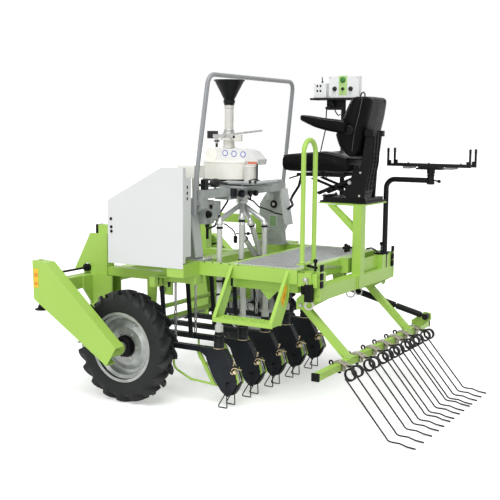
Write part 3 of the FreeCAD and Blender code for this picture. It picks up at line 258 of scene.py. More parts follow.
def moulded(name, colour, shade, roughness, grain=700.0, depth=0.0001, shine=0.35):
    """Injection-moulded plastic or vinyl with a fine skin."""
    finish = Finish(name)
    cloud = finish.speckle(6.0, 3.0)
    finish.feed(Base_Color=finish.mixed(cloud, colour, shade),
                Roughness=roughness + finish.speckle(40.0) * 0.1, Specular_IOR_Level=shine)
    finish.relief(finish.speckle(grain, 2.0, 0.2, 0.8), depth, 0.002)
    return finish.material


frame_green = painted("frame_green", rgb(163, 201, 88), rgb(154, 193, 80))
panel_grey = painted("panel_grey", rgb(216, 218, 218), rgb(212, 213, 214), 0.4, rgb(228, 228, 228))
rim_silver = bare_metal("rim_silver", rgb(172, 175, 173), rgb(146, 149, 147), 0.32, 160.0, 0.55)
black_coat = painted("black_coat", rgb(19, 20, 21), rgb(14, 15, 16), 0.40, rgb(60, 60, 59), 0.0, 0.16)
hoop_grey = painted("hoop_grey", rgb(150, 152, 155), rgb(142, 144, 147), 0.35, rgb(200, 200, 200))
tower_grey = casting("tower_grey", rgb(172, 177, 175), rgb(154, 159, 157), 0.5, 0.1)
coulter_dark = casting("coulter_dark", rgb(30, 34, 40), rgb(22, 25, 30), 0.45, 0.0, 0.2)
zinc = bare_metal("zinc", rgb(190, 190, 186), rgb(160, 161, 160))
drum_cream = moulded("drum_cream", rgb(246, 245, 238), rgb(240, 238, 230), 0.32)
hood_white = moulded("hood_white", rgb(231, 232, 230), rgb(224, 225, 223), 0.34)
tube_pale = moulded("tube_pale", rgb(224, 222, 214), rgb(215, 213, 206), 0.3)
hose_pale = moulded("hose_pale", rgb(196, 198, 194), rgb(180, 182, 178), 0.35)
funnel_black = moulded("funnel_black", rgb(22, 23, 24), rgb(16, 17, 18), 0.42, shine=0.18)
black_plastic = moulded("black_plastic", rgb(15, 15, 16), rgb(10, 10, 11), 0.45, shine=0.14)
vinyl_black = moulded("vinyl_black", rgb(18, 18, 19), rgb(13, 13, 14), 0.42, 500.0, 0.0003, 0.18)
tyre_rubber = moulded("tyre_rubber", rgb(21, 21, 22), rgb(29, 28, 28), 0.62, 300.0, 0.0004, 0.2)
spring_black = painted("spring_black", rgb(18, 19, 20), rgb(24, 25, 26), 0.32, rgb(60, 60, 60), 0.0, 0.2)
box_grey = painted("box_grey", rgb(236, 238, 238), rgb(230, 232, 232), 0.45, rgb(240, 240, 240))
grating_zinc = bare_metal("grating_zinc", rgb(222, 224, 224), rgb(204, 206, 206), 0.4, 200.0, 0.35)


def coat(node_name, finish):
    """Give a solid of the CAD its finish."""
    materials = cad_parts[node_name].data.materials
    materials.clear()
    materials.append(finish)


cad_finishes = (
    (vinyl_black, "armrest seat_back seat_cushion"),
    (black_coat, "box_rack control_column cross_shafts rack_arm seat_base strut_barrel strut_rod"),
    (tower_grey, "bridge gearbox towers"),
    (box_grey, "control_boxes"),
    (coulter_dark, "coulter_arms coulter_bodies"),
    (panel_grey, "cover_panel"),
    (spring_black, "covering_wires harrow_tines"),
    (drum_cream, "drive_motor seed_drum"),
    (hood_white, "drum_hood"),
    (funnel_black, "funnel"),
    (frame_green, "handrail harrow_frame main_frame platform_frame rear_frame side_arm_left side_arm_right "
                  "skid_rods step"),
    (black_plastic, "hub_left hub_right jack_foot_left jack_foot_right cables seat_suspension harrow_caps"),
    (zinc, "lift_chains pins release_lever stub_axles"),
    (tube_pale, "outlet_cup seed_tube"),
    (rim_silver, "rim_left rim_right"),
    (hoop_grey, "roll_hoop"),
    (hose_pale, "seed_hoses"),
    (tyre_rubber, "tyre_left tyre_right"),
)
for finish, node_names in cad_finishes:
    for node_name in node_names.split():
        coat(node_name, finish)

# ---------------------------------------------------------------- wheels
# Farm tyres on silver steel rims. The rubber carcass is one moulding with rings on its walls, and
# two staggered rows of slanted bars stand on it; a black cap with one bolt closes each hub.


def at(x, y, z):
    """Point given in millimetres from the ground under the middle of the wheel axle."""
    return Vector((axle_x + x / 1000, y / 1000, z / 1000))


def finished(name, bm, finish, body, bevel=0.0, smooth=40.0):
    """Object from a built mesh, with softened edges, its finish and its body."""
    bm.normal_update()
    mesh = bpy.data.meshes.new(name)
    bm.to_mesh(mesh)
    bm.free()
    mesh.materials.append(finish)
    mesh.polygons.foreach_set("use_smooth", [True] * len(mesh.polygons))
    mesh.set_sharp_from_angle(angle=math.radians(smooth))
    piece = bpy.data.objects.new(name, mesh)
    scene.collection.objects.link(piece)
    if bevel:
        soften = piece.modifiers.new("soften", "BEVEL")
        soften.width = bevel
        soften.segments = 2
        soften.limit_method = "ANGLE"
        soften.angle_limit = math.radians(35)
        soften.harden_normals = True
    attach(piece, body)
    return piece


def cross_frame(axis):
    """Two unit directions at right angles to an axis."""
    axis = Vector(axis).normalized()
    helper = Vector((0, 0, 1)) if abs(axis.z) < 0.9 else Vector((1, 0, 0))
    side = axis.cross(helper).normalized()
    return side, axis.cross(side)


def skin(bm, rings, closed_ring=True, cap=True):
    """Faces between rings of equal count, with flat ends."""
    loops = [[bm.verts.new(p) for p in ring] for ring in rings]
    count = len(loops[0])
    for a, b in zip(loops, loops[1:]):
        for i in range(count if closed_ring else count - 1):
            j = (i + 1) % count
            bm.faces.new((a[i], a[j], b[j], b[i]))
    if cap:
        bm.faces.new(list(reversed(loops[0])))
        bm.faces.new(loops[-1])
    return loops


def closed_skin(bm, rings):
    """Skin whose last ring joins the first again."""
    loops = skin(bm, rings, cap=False)
    count = len(loops[0])
    for i in range(count):
        j = (i + 1) % count
        bm.faces.new((loops[-1][i], loops[-1][j], loops[0][j], loops[0][i]))


def circle(middle, side, up, radius, steps):
    """Points of a circle between two directions."""
    return [middle + (side * math.cos(t) + up * math.sin(t)) * radius
            for t in (2 * math.pi * k / steps for k in range(steps))]


def lathe(bm, profile, centre, axis, steps, closed=False):
    """Turned body: profile points are (distance along the axis, radius); closed makes a ring."""
    axis = Vector(axis).normalized()
    side, up = cross_frame(axis)
    rings = []
    for along, radius in profile:
        rings.append(circle(Vector(centre) + axis * along, side, up, radius, steps))
    if closed:
        closed_skin(bm, rings)
    else:
        skin(bm, rings)


def collar(bm, narrow, wide, lead, length, centre, axis, steps):
    """Turned band that widens over its lead at both ends."""
    lathe(bm, [(0, narrow), (lead, wide), (length - lead, wide), (length, narrow)], centre, axis, steps)


def rod(bm, start, end, radius, steps):
    """Round bar between two points."""
    start = Vector(start)
    along = Vector(end) - start
    lathe(bm, [(0, radius), (along.length, radius)], start, along, steps)


def block(bm, low, high):
    """Box between two corners."""
    size = Vector([abs(a - b) for a, b in zip(high, low)])
    low = Vector([min(a, b) for a, b in zip(low, high)])
    corners = [Vector((x, y, z)) for z in (0, 1) for x, y in ((0, 0), (1, 0), (1, 1), (0, 1))]
    verts = [bm.verts.new(low + Vector((c.x * size.x, c.y * size.y, c.z * size.z))) for c in corners]
    for face in ((3, 2, 1, 0), (4, 5, 6, 7), (0, 1, 5, 4), (1, 2, 6, 5), (2, 3, 7, 6), (3, 0, 4, 7)):
        bm.faces.new([verts[i] for i in face])


def bolt(bm, place, axis, across, length=0.0):
    """Hexagon head on a washer; across is the size over flats, place the face it sits on."""
    axis = Vector(axis).normalized()
    place = Vector(place)
    radius = across / math.sqrt(3)
    washer = across * 0.75
    thick = across * 0.16
    high = across * 0.62
    lathe(bm, [(0, washer), (thick, washer)], place, axis, 20)
    lathe(bm, [(thick, radius), (high * 0.85, radius), (high, radius * 0.86)], place, axis, 6)
    if length:
        lathe(bm, [(high, across * 0.27), (high + length, across * 0.27)], place, axis, 14)


tyre_low, tyre_high = [Vector(c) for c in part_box("tyre_left")]
axle_x = (tyre_low.x + tyre_high.x) / 2
tyre_radius = (tyre_high.x - tyre_low.x) / 2 - 0.0002
half_width = (tyre_high.y - tyre_low.y) / 2
bar_height = 0.027
bar_half_top = 0.0098
bar_half_foot = 0.0175
bars_a_side = 19
bar_sweep = math.radians(13)
tread_radius = tyre_radius - bar_height
hub_bolt_circle = 0.082
rim_seam_radius = 0.170
rim_seam_beads = 36
rubber = Finish("tyre_rubber")
dust = rubber.speckle(7.0, 5.0)
rub = rubber.edges(0.004)
rubber.feed(Base_Color=rubber.mixed(rub * 0.3, rubber.mixed(dust * 0.5, rgb(26, 27, 29), rgb(38, 38, 38)),
                                    rgb(92, 92, 90)),
            Roughness=0.46 + dust * 0.16, Specular_IOR_Level=0.24)
rubber.relief(rubber.speckle(260.0, 3.0, 0.2, 0.8), 0.0004)


def tyre_carcass(bm, centre):
    """Rubber ring: half of the outer and inner outline, mirrored to the other wall."""
    h = half_width
    drops = ((0.0, 0.0), (0.5, 0.003), (0.78, 0.009), (0.92, 0.019), (0.985, 0.034), (1.0, 0.055),
             (0.985, 0.072), (0.955, 0.084), (0.955, 0.087), (0.93, 0.088), (0.88, 0.099), (0.84, 0.103),
             (0.82, 0.110), (0.80, 0.121), (0.62, 0.1215), (0.74, 0.06), (0.5, 0.03), (0.0, 0.024))
    ring = [(h * share, tread_radius - drop) for share, drop in drops]
    ring += [(-a, r) for a, r in reversed(ring[1:-1])]
    lathe(bm, ring, centre, (0, 1, 0), 6 * bars_a_side, closed=True)


def tread_bar(bm, centre, side, middle):
    """One bar: a trapezoid section that runs from the middle of the tread over the shoulder."""
    h = half_width
    stations = [(0.003, 0.0, 0.0, 1.0), (0.35 * h, 0.0, 0.30, 1.0), (0.62 * h, 0.001, 0.62, 1.05),
                (0.82 * h, 0.006, 0.86, 1.1), (0.93 * h, 0.010, 0.97, 1.15), (0.985 * h, 0.021, 1.0, 1.2),
                (1.006 * h, 0.048, 1.0, 1.25)]
    rings = []
    for y, drop, lean, wide in stations:
        turn = middle - bar_sweep * lean
        top = tyre_radius - drop
        foot = min(tread_radius, top) - 0.014 - drop * 0.35
        half_top = bar_half_top * wide
        half_foot = bar_half_foot * wide
        ring = []
        for radius, along in ((foot, -half_foot), (top, -half_top), (top, half_top), (foot, half_foot)):
            a = turn + along / radius
            ring.append(Vector(centre) + Vector((radius * math.sin(a), side * y, radius * math.cos(a))))
        rings.append(ring if side > 0 else list(reversed(ring)))
    skin(bm, rings)


for side, sign in (("left", 1), ("right", -1)):
    hub_low, hub_high = [Vector(c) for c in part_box("tyre_" + side)]
    wheel_centre = (hub_low + hub_high) / 2
    shape = bmesh.new()
    tyre_carcass(shape, wheel_centre)
    step = 2 * math.pi / bars_a_side
    for i in range(bars_a_side):
        tread_bar(shape, wheel_centre, sign, i * step)
        tread_bar(shape, wheel_centre, -sign, (i + 0.5) * step)
    tyre = finished("tyre_tread_" + side, shape, rubber.material, "wheel_" + side, 0.0022, 50)
    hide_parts("tyre_" + side)

    shape = bmesh.new()
    lathe(shape, [(0.0205, 0.060), (0.034, 0.060), (0.046, 0.054), (0.0485, 0.049), (0.0485, 0.018),
                  (0.052, 0.016)], wheel_centre, (0, sign, 0), 40)
    finished("hub_cap_" + side, shape, black_plastic, "wheel_" + side, 0.0012)
    shape = bmesh.new()
    bolt(shape, wheel_centre + Vector((0, sign * 0.0522, 0)), (0, sign, 0), 0.019)
    for i in range(6):
        a = math.pi * i / 3
        out = Vector((math.cos(a), 0, math.sin(a))) * hub_bolt_circle
        bolt(shape, wheel_centre + out + Vector((0, sign * 0.0082, 0)), (0, sign, 0), 0.016)
    valve = Vector((math.cos(2.1), 0, math.sin(2.1)))
    rod(shape, wheel_centre + valve * 0.150 + Vector((0, -sign * 0.006, 0)),
        wheel_centre + valve * 0.157 + Vector((0, sign * 0.028, 0)), 0.0032, 12)
    finished("hub_bolts_" + side, shape, zinc, "wheel_" + side, 0.0004)
    shape = bmesh.new()
    for i in range(rim_seam_beads):
        a = 2 * math.pi * i / rim_seam_beads
        radial = Vector((math.cos(a), 0, math.sin(a)))
        round_way = Vector((-math.sin(a), 0, math.cos(a)))
        spot = wheel_centre + radial * rim_seam_radius + Vector((0, sign * -0.0055, 0))
        rod(shape, spot - round_way * 0.010, spot + round_way * 0.010, 0.0022, 8)
    finished("rim_welds_" + side, shape, rim_silver, "wheel_" + side)


# ---------------------------------------------------------------- seat cushion and backrest
# A sprung operator's seat: moulded foam under black vinyl, with a welt sewn along its top edges and
# round the middle panels. Each pad swells a little under its cover, as sewn vinyl does.
vinyl = Finish("seat_vinyl")
vinyl_cloud = vinyl.speckle(5.0, 3.0)
# The vinyl's edges turn paler grey: partly wear, partly painted sheen along the edges.
vinyl_wear_and_sheen = vinyl.edges(0.006)
vinyl.feed(Base_Color=vinyl.mixed(vinyl_wear_and_sheen * 0.35, vinyl.mixed(vinyl_cloud, rgb(13, 13, 14), rgb(9, 9, 10)),
                                  rgb(78, 79, 82)),
           Roughness=0.27 + vinyl_cloud * 0.10, Specular_IOR_Level=0.07)
vinyl_grain = vinyl.node("ShaderNodeTexVoronoi", {"feature": "DISTANCE_TO_EDGE"},
                         {"Vector": vinyl.place, "Scale": 420.0})
vinyl.relief(vinyl_grain, 0.0005)
# The welts are a paler grey than the vinyl: partly their own colour, partly painted highlight along the sewn
# edges.
welt_grey_and_sheen = Finish("seat_welt_and_sheen")
welt_grey_and_sheen.feed(Base_Color=welt_grey_and_sheen.mixed(welt_grey_and_sheen.speckle(30.0), rgb(58, 59, 61), rgb(44, 45, 47)), Roughness=0.38)
welt_grey_and_sheen.relief(welt_grey_and_sheen.speckle(600.0, 2.0, 0.2, 0.8), 0.0003)


def level(value, table):
    """Straight-line value of a table of (place, value) at a place."""
    for (a, va), (b, vb) in zip(table, table[1:]):
        if value <= b:
            t = 0.0 if b == a else max(0.0, (value - a) / (b - a))
            return va + (vb - va) * t
    return table[-1][1]


def signed_power(value, power):
    """Power of the size of a value, with the value's own sign."""
    return math.copysign(abs(value) ** power, value)


def tube_along(bm, points, radius, sides, closed=False):
    """Round tube through points, its section carried along without twist."""
    points = [Vector(p) for p in points]
    count = len(points)
    tangents = []
    for i in range(count):
        before = points[i - 1] if i or closed else points[0]
        after = points[(i + 1) % count] if i < count - 1 or closed else points[-1]
        tangents.append((after - before).normalized())
    side, _ = cross_frame(tangents[0])
    rings = []
    for point, tangent in zip(points, tangents):
        side = (side - tangent * side.dot(tangent)).normalized()
        up = tangent.cross(side)
        rings.append(circle(point, side, up, radius, sides))
    if closed:
        closed_skin(bm, rings)
    else:
        skin(bm, rings)


cloth_mesh = 0.006
cloth_pressure = 4.0
swell_frames = 12


def swollen(piece, limit):
    """Blow the pad up a little as cloth, cap how far a point moves, and keep the result as its mesh."""
    remesh = piece.modifiers.new("even_mesh", "REMESH")
    remesh.mode = "VOXEL"
    remesh.voxel_size = cloth_mesh
    graph = bpy.context.evaluated_depsgraph_get()
    even = bpy.data.meshes.new_from_object(piece.evaluated_get(graph))
    piece.modifiers.clear()
    piece.data = even
    start = [v.co.copy() for v in even.vertices]
    cloth = piece.modifiers.new("swell", "CLOTH")
    cloth.settings.use_pressure = True
    cloth.settings.uniform_pressure_force = cloth_pressure
    cloth.settings.effector_weights.gravity = 0.0
    for i in range(1, swell_frames + 1):
        scene.frame_set(i)
    graph = bpy.context.evaluated_depsgraph_get()
    swelled = piece.evaluated_get(graph).to_mesh()
    for vertex, was, now in zip(even.vertices, start, swelled.vertices):
        move = now.co - was
        if move.length > limit:
            move *= limit / move.length
        vertex.co = was + move
    piece.modifiers.clear()
    scene.frame_set(1)
    even.polygons.foreach_set("use_smooth", [True] * len(even.polygons))


def pad(name, rings, node_name, limit=0.004):
    """Closed vinyl pad from rings, swollen, in place of its plain solid."""
    bm = bmesh.new()
    skin(bm, rings)
    bmesh.ops.recalc_face_normals(bm, faces=bm.faces)
    piece = finished(name, bm, vinyl.material, "machine", 0.0, 60)
    swollen(piece, limit)
    if not piece.data.materials:
        piece.data.materials.append(vinyl.material)
    fine = piece.modifiers.new("fine", "SUBSURF")
    fine.levels = 1
    fine.render_levels = 1
    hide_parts(node_name)
    return piece


seat_y = -230
ring_angles = [2 * math.pi * k / 40 for k in range(40)]


def welt_on(bm, rings, corner, first, last, radius, lift):
    """Welt sewn along one corner of a pad: the same point of each ring, a little proud of the cover."""
    line = []
    for ring in rings[first:last]:
        centre = sum(ring, Vector()) / len(ring)
        line.append(ring[corner] + (ring[corner] - centre).normalized() * lift)
    tube_along(bm, line, radius, 8)


def cushion_ring(x, low, high, half):
    """Rounded box across the cushion, its top dished in the middle."""
    ring = []
    for t in ring_angles:
        c = signed_power(math.cos(t), 0.30)
        s = signed_power(math.sin(t), 0.34)
        z = (low + high) / 2 + (high - low) / 2 * s
        if s > 0:
            z -= s * (4 * math.cos(math.pi * c) + 3)
        ring.append(at(x, seat_y + half * c, z))
    return ring


cushion_top = [(-1092, 1502), (-1060, 1510), (-1000, 1524), (-913, 1539), (-795, 1528), (-700, 1520),
               (-655, 1516), (-636, 1512)]
cushion_foot = [(-1092, 1410), (-800, 1411), (-700, 1412), (-660, 1413), (-636, 1418)]
cushion_rings = []
for x, shrink in ((-1091, 20), (-1088, 8), (-1080, 2), (-1030, 0), (-970, 0), (-910, 0), (-850, 0), (-790, 0),
                  (-740, 0), (-700, 0), (-672, 0), (-652, 0), (-643, 3), (-638, 9), (-636, 19)):
    low = level(x, cushion_foot) + shrink * 0.7
    high = level(x, cushion_top) - shrink * 0.8
    cushion_rings.append(cushion_ring(x, low, high, 229 - shrink * 0.7))
pad("cushion_pad", cushion_rings, "seat_cushion")

back_front = [(1508, -1078), (1521, -1068), (1582, -1013), (1643, -991), (1700, -1014), (1741, -1036),
              (1810, -1066), (1869, -1094), (1880, -1104)]
back_middle = [(1508, -1104), (1560, -1070), (1643, -1058), (1741, -1088), (1830, -1112), (1880, -1126)]
back_rear = [(1508, -1140), (1690, -1172), (1760, -1188), (1868, -1206), (1880, -1202)]
back_half = [(1508, 196), (1560, 201), (1700, 202), (1880, 192)]
back_rings = []
for z, shrink in ((1510, 26), (1514, 12), (1522, 4), (1545, 0), (1575, 0), (1610, 0), (1643, 0), (1680, 0),
                  (1712, 0), (1750, 0), (1790, 0), (1825, 0), (1850, 1), (1866, 6), (1875, 14), (1879, 24)):
    half = level(z, back_half) - shrink * 0.6
    front = level(z, back_front) - shrink * 0.6
    middle = level(z, back_middle) - shrink * 0.6
    rear = level(z, back_rear) + shrink * 0.6
    ring = []
    for t in ring_angles:
        c = signed_power(math.cos(t), 0.32)
        s = signed_power(math.sin(t), 0.32)
        out = min(1.0, max(0.0, (abs(c) - 0.60) / 0.20))
        face = middle + (front - middle) * out * out * (3 - 2 * out)
        spine = min(rear + 46 * abs(c) ** 5, face - 34)
        ring.append(at((face + spine) / 2 + (face - spine) / 2 * s, seat_y + half * c, z))
    back_rings.append(ring)
pad("back_pad", back_rings, "seat_back")

bm = bmesh.new()
for corner, radius, lift in ((5, 0.0030, 0.0015), (15, 0.0030, 0.0015), (25, 0.0024, 0.0010),
                             (35, 0.0024, 0.0010)):
    welt_on(bm, cushion_rings, corner, 2, 13, radius, lift)
front_ring = cushion_rings[-3]
tube_along(bm, [front_ring[k] + Vector((0.004, 0, 0.001)) for k in range(5, 16)], 0.0028, 8)
for corner, radius, lift in ((4, 0.0030, 0.0015), (16, 0.0030, 0.0015), (36, 0.0026, 0.0010),
                             (24, 0.0026, 0.0010)):
    welt_on(bm, back_rings, corner, 3, 15, radius, lift)
top_ring = back_rings[-3]
tube_along(bm, [top_ring[k] + Vector((0.001, 0, 0.005)) for k in range(4, 17)], 0.0026, 8)
for x in (-760, -860, -960):
    tube_along(bm, [at(x, seat_y + y, level(x, cushion_top) - 3 - 4 * math.cos(math.pi * y / 229)) for y in
                    range(-138, 139, 12)], 0.0016, 8)
for z in (1600, 1680, 1760):
    tube_along(bm, [at(level(z, back_middle) + 1.5, seat_y + y, z) for y in range(-108, 109, 12)], 0.0016, 8)
finished("seat_welts", bm, welt_grey_and_sheen.material, "machine", 0.0, 60)

# ---------------------------------------------------------------- armrest
# A slim folding armrest: foam on a steel tongue, tapering to its front, on a pivot at the backrest.
rings = []
for x, low, high, half in ((-783, 1738, 1756, 12), (-786, 1731, 1762, 20), (-795, 1727, 1765, 25),
                           (-830, 1712, 1761, 28), (-875, 1693, 1755, 30), (-930, 1678, 1747, 30),
                           (-971, 1669, 1742, 30), (-1039, 1658, 1736, 29), (-1075, 1655, 1732, 28),
                           (-1086, 1659, 1728, 24), (-1090, 1672, 1716, 14)):
    ring = []
    for t in ring_angles:
        c = signed_power(math.cos(t), 0.5)
        s = signed_power(math.sin(t), 0.5)
        ring.append(at(x, seat_y + 245 + half * c, (low + high) / 2 + (high - low) / 2 * s))
    rings.append(ring)
pad("armrest_pad", rings, "armrest", 0.002)
bm = bmesh.new()
for corner in (4, 16):
    welt_on(bm, rings, corner, 2, 10, 0.0022, 0.001)
finished("armrest_welt", bm, welt_grey_and_sheen.material, "machine", 0.0, 60)
bm = bmesh.new()
lathe(bm, [(0, 30), (4, 32), (30, 32), (34, 28), (34, 12), (38, 10)], Vector((0, 0, 0)), (0, 1, 0), 28)
bmesh.ops.scale(bm, vec=(0.001, 0.001, 0.001), verts=bm.verts)
bmesh.ops.translate(bm, vec=at(-1100, -24.6, 1672), verts=bm.verts)
finished("armrest_pivot", bm, black_plastic, "machine", 0.001)

# ---------------------------------------------------------------- seat suspension
# The sprung mount behind and under the seat: a ribbed moulded housing that leans back, with its
# upper bracket, a scissor linkage on zinc bolts, the slide rails and a lever under the cushion.
bm = bmesh.new()


def prism_y(bm, outline, y0, y1):
    """Flat plate between two Y planes from an outline of (x, z) points."""
    skin(bm, [[at(x, y, z) for x, z in outline] for y in (y0, y1)])


def leaning(z):
    """X of the housing's rear face at a height."""
    return level(z, [(1250, -1176), (1380, -1196), (1470, -1214), (1690, -1226)])


housing_right = [(1251, -210), (1386, -230), (1474, -222), (1662, -252)]
housing_heights = (1251, 1300, 1360, 1420, 1470, 1530, 1600, 1662)
housing_rings = []
for z in housing_heights:
    rear = leaning(z)
    left = level(z, [(1251, -84), (1470, -82), (1662, -92)])
    right = level(z, housing_right)
    front = rear + level(z, [(1251, 72), (1400, 62), (1662, 48)])
    housing_rings.append([at(x, y, z) for x, y in ((front, right), (rear + 8, right), (rear, right + 8),
                                                   (rear, left - 8), (rear + 8, left), (front, left))])
skin(bm, housing_rings)
for z in range(1276, 1560, 26):
    rear = leaning(z)
    right = level(z, housing_right)
    block(bm, at(rear - 4, right + 14, z), at(rear + 4, -100, z + 9))
for y in (-114, -160, -206):
    for low, high in zip(housing_heights[1:-1], housing_heights[2:]):
        skin(bm, [[at(leaning(z) + dx, y + dy, z) for dx, dy in ((-6, -5), (-6, 5), (4, 5), (4, -5))]
                  for z in (low, high)])
block(bm, at(-1232, -262, 1636), at(-1196, -222, 1672))
block(bm, at(-1228, -140, 1636), at(-1170, -84, 1676))
block(bm, at(-1222, -222, 1652), at(-1180, -140, 1664))
side_plate = [(-1180, 1250), (-1060, 1250), (-1030, 1276), (-1062, 1330), (-1096, 1402), (-1096, 1440),
              (-1190, 1440)]
prism_y(bm, side_plate, -98, -82)
prism_y(bm, side_plate, -262, -246)
for y in (-104, -240):
    skin(bm, [[at(x, y + dy, z) for dy in (-7, 7)] + [at(x + 26, y + dy, z - 8) for dy in (7, -7)]
              for x, z in ((-1120, 1268), (-820, 1372))])
    skin(bm, [[at(x, y + dy, z) for dy in (-7, 7)] + [at(x + 20, y + dy, z + 16) for dy in (7, -7)]
              for x, z in ((-1120, 1372), (-860, 1262))])
for y in (-412, -64):
    block(bm, at(-1062, y, 1381), at(-722, y + 14, 1400))
for x in (-1040, -900, -760):
    block(bm, at(x, -398, 1384), at(x + 34, -64, 1398))
block(bm, at(-900, -300, 1251), at(-872, -120, 1262))
bmesh.ops.recalc_face_normals(bm, faces=bm.faces)
suspension = finished("suspension_frame", bm, black_plastic, "machine", 0.003)
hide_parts("seat_suspension")
bm = bmesh.new()
for i in range(90):
    a = 2 * math.pi * i / 12
    b = 2 * math.pi * (i + 1) / 12
    rod(bm, at(-1150 + 16 * math.cos(a), -200 + 16 * math.sin(a), 1258 + i * 1.5),
        at(-1150 + 16 * math.cos(b), -200 + 16 * math.sin(b), 1258 + (i + 1) * 1.5), 0.0028, 6)
tube_along(bm, [at(-726, -120, 1386), at(-700, -90, 1376), at(-672, -70, 1366), at(-668, -56, 1362)], 0.005,
           10)
finished("suspension_lever", bm, spring_black, "machine")
bm = bmesh.new()
for x, y, z, across in ((-1078, -81.5, 1348, 17), (-1146, -81.5, 1268, 10), (-1150, -81.5, 1412, 10)):
    bolt(bm, at(x, y, z), (0, 1, 0), across / 1000)
for y in (-300, -130):
    bolt(bm, at(-1168, y, 1250.2), (0, 0, 1), 0.013)
    bolt(bm, at(-886, y, 1262), (0, 0, 1), 0.013)
finished("suspension_bolts", bm, zinc, "machine", 0.0004)

# ---------------------------------------------------------------- control boxes
# Two pale grey steel cases on the tray beside the seat. The larger has a blank green plate, three
# black knobs and a green button, the smaller four dark sockets and a stub aerial.
knob_black = moulded("knob_black", rgb(20, 20, 22), rgb(15, 15, 16), 0.4)
label_green = painted("label_green", rgb(182, 218, 138), rgb(174, 210, 130), 0.5)
knob_green = moulded("knob_green", rgb(70, 140, 60), rgb(60, 126, 52), 0.4)
large_face = -478.2
small_face = -482.2
bm = bmesh.new()
block(bm, at(-950, -530, 1884.2), at(-732, large_face - 0.1, 2030))
block(bm, at(-712, -530, 1884.2), at(-620, small_face - 0.1, 1985))
cases = finished("control_cases", bm, box_grey, "machine", 0.004)
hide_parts("control_boxes")
bm = bmesh.new()
block(bm, at(-866, large_face, 1902), at(-806, large_face + 1, 2029))
finished("case_label", bm, label_green, "machine")
bm = bmesh.new()
for x, z, radius in ((-777, 1944, 13), (-893, 1944, 13), (-836, 1944, 8)):
    grip = radius / 1000
    lathe(bm, [(0, grip + 0.003), (0.002, grip + 0.003), (0.0022, grip), (0.016, grip * 0.86),
               (0.018, grip * 0.7)],
          at(x, -477.4, z), (0, 1, 0), 24)
    block(bm, at(x - 1.6, -462, z - radius * 0.8), at(x + 1.6, -457.5, z + radius * 0.8))
for z in (1965, 1932):
    for x in (-652, -676):
        block(bm, at(x, small_face, z - 7), at(x + 12, small_face + 2, z + 7))
rod(bm, at(-672, -506, 1984), at(-672, -506, 1996), 0.007, 16)
rod(bm, at(-672, -506, 1996), at(-670, -504, 2024), 0.0035, 12)
tube_along(bm, [at(-940, -505, 1884), at(-955, -505, 1900), at(-962, -505, 1916), at(-974, -505, 1922),
                at(-984, -505, 1912), at(-985, -505, 1886)], 0.005, 12)
finished("case_knobs", bm, knob_black, "machine", 0.0006)
bm = bmesh.new()
lathe(bm, [(0, 0.020), (0.004, 0.020), (0.008, 0.015), (0.010, 0.006)], at(-835, large_face + 1, 2003),
      (0, 1, 0), 28)
finished("case_button", bm, knob_green, "machine", 0.0004)
bm = bmesh.new()
for x, z in ((-940, 2020), (-742, 2020), (-940, 1894), (-742, 1894)):
    lathe(bm, [(0, 0.004), (0.0016, 0.004), (0.0022, 0.003)], at(x, large_face, z), (0, 1, 0), 12)
for x, z in ((-704, 1978), (-628, 1978), (-704, 1892), (-628, 1892)):
    lathe(bm, [(0, 0.003), (0.0014, 0.003), (0.002, 0.0022)], at(x, small_face, z), (0, 1, 0), 12)
finished("case_screws", bm, zinc, "machine")
bm = bmesh.new()
block(bm, at(-830, -532, 1812), at(-706, -486, 1826))
block(bm, at(-764, -528, 1826), at(-724, -490, 1868))
tube_along(bm, [at(-760, -486, 1868), at(-772, -476, 1830), at(-792, -470, 1790), at(-806, -480, 1768),
                at(-812, -500, 1776)], 0.004, 10)
tube_along(bm, [at(-720, -486, 1866), at(-726, -478, 1836), at(-744, -474, 1818), at(-758, -478, 1830)],
           0.004, 10)
finished("tray_bracket", bm, black_coat, "machine", 0.002)

# ---------------------------------------------------------------- seed metering head
# The cream moulded drum and its white hood carry a ball valve with a knurled lever. A bright tray lies
# under the outlet, blank stickers are on the hood, and black screw knobs hold the head on its bridge.
bright_sheet = bare_metal("bright_sheet", rgb(222, 224, 224), rgb(204, 206, 206), 0.3, 300.0, 0.7)
sticker_white = painted("sticker_white", rgb(232, 234, 238), rgb(226, 228, 234), 0.4)
sticker_blue = painted("sticker_blue", rgb(92, 98, 196), rgb(86, 92, 188), 0.4)
sticker_red = painted("sticker_red", rgb(212, 120, 96), rgb(204, 110, 88), 0.45)
mark_places = ((-254, 1517), (-322, 1513), (-390, 1511))
hood_side = 60.3
drum_x = -246
bm = bmesh.new()
for x, z in mark_places:
    lathe(bm, [(0, 0.015), (0.0010, 0.015)], at(x, hood_side, z), (0, 1, 0), 32)
finished("hood_stickers", bm, sticker_white, "machine")
bm = bmesh.new()
for x, z in mark_places:
    lathe(bm, [(0, 0.015), (0.0010, 0.015), (0.0010, 0.020), (0, 0.020)], at(x, hood_side, z), (0, 1, 0), 32,
          closed=True)
finished("sticker_rings", bm, sticker_blue, "machine")
bm = bmesh.new()
block(bm, at(-496, 60.2, 1451), at(-424, 61.0, 1466))
finished("sticker_strip", bm, sticker_red, "machine")
bm = bmesh.new()
lathe(bm, [(0, 0.166), (0.004, 0.172), (0.008, 0.172), (0.010, 0.1685)], at(drum_x, 0, 1340), (0, 0, 1), 72)
block(bm, at(-120, 60.3, 1492), at(-160, 61.0, 1497))
finished("drum_foot_ring", bm, black_plastic, "machine", 0.0006)
bm = bmesh.new()
collar(bm, 0.1684, 0.1705, 0.003, 0.011, at(drum_x, 0, 1454), (0, 0, 1), 72)
lathe(bm, [(0, 0.046), (0.003, 0.046), (0.004, 0.040), (0.004, 0.018), (0.007, 0.016), (0.007, 0.0005)],
      at(-147, 60.2, 1506), (0, 1, 0), 36)
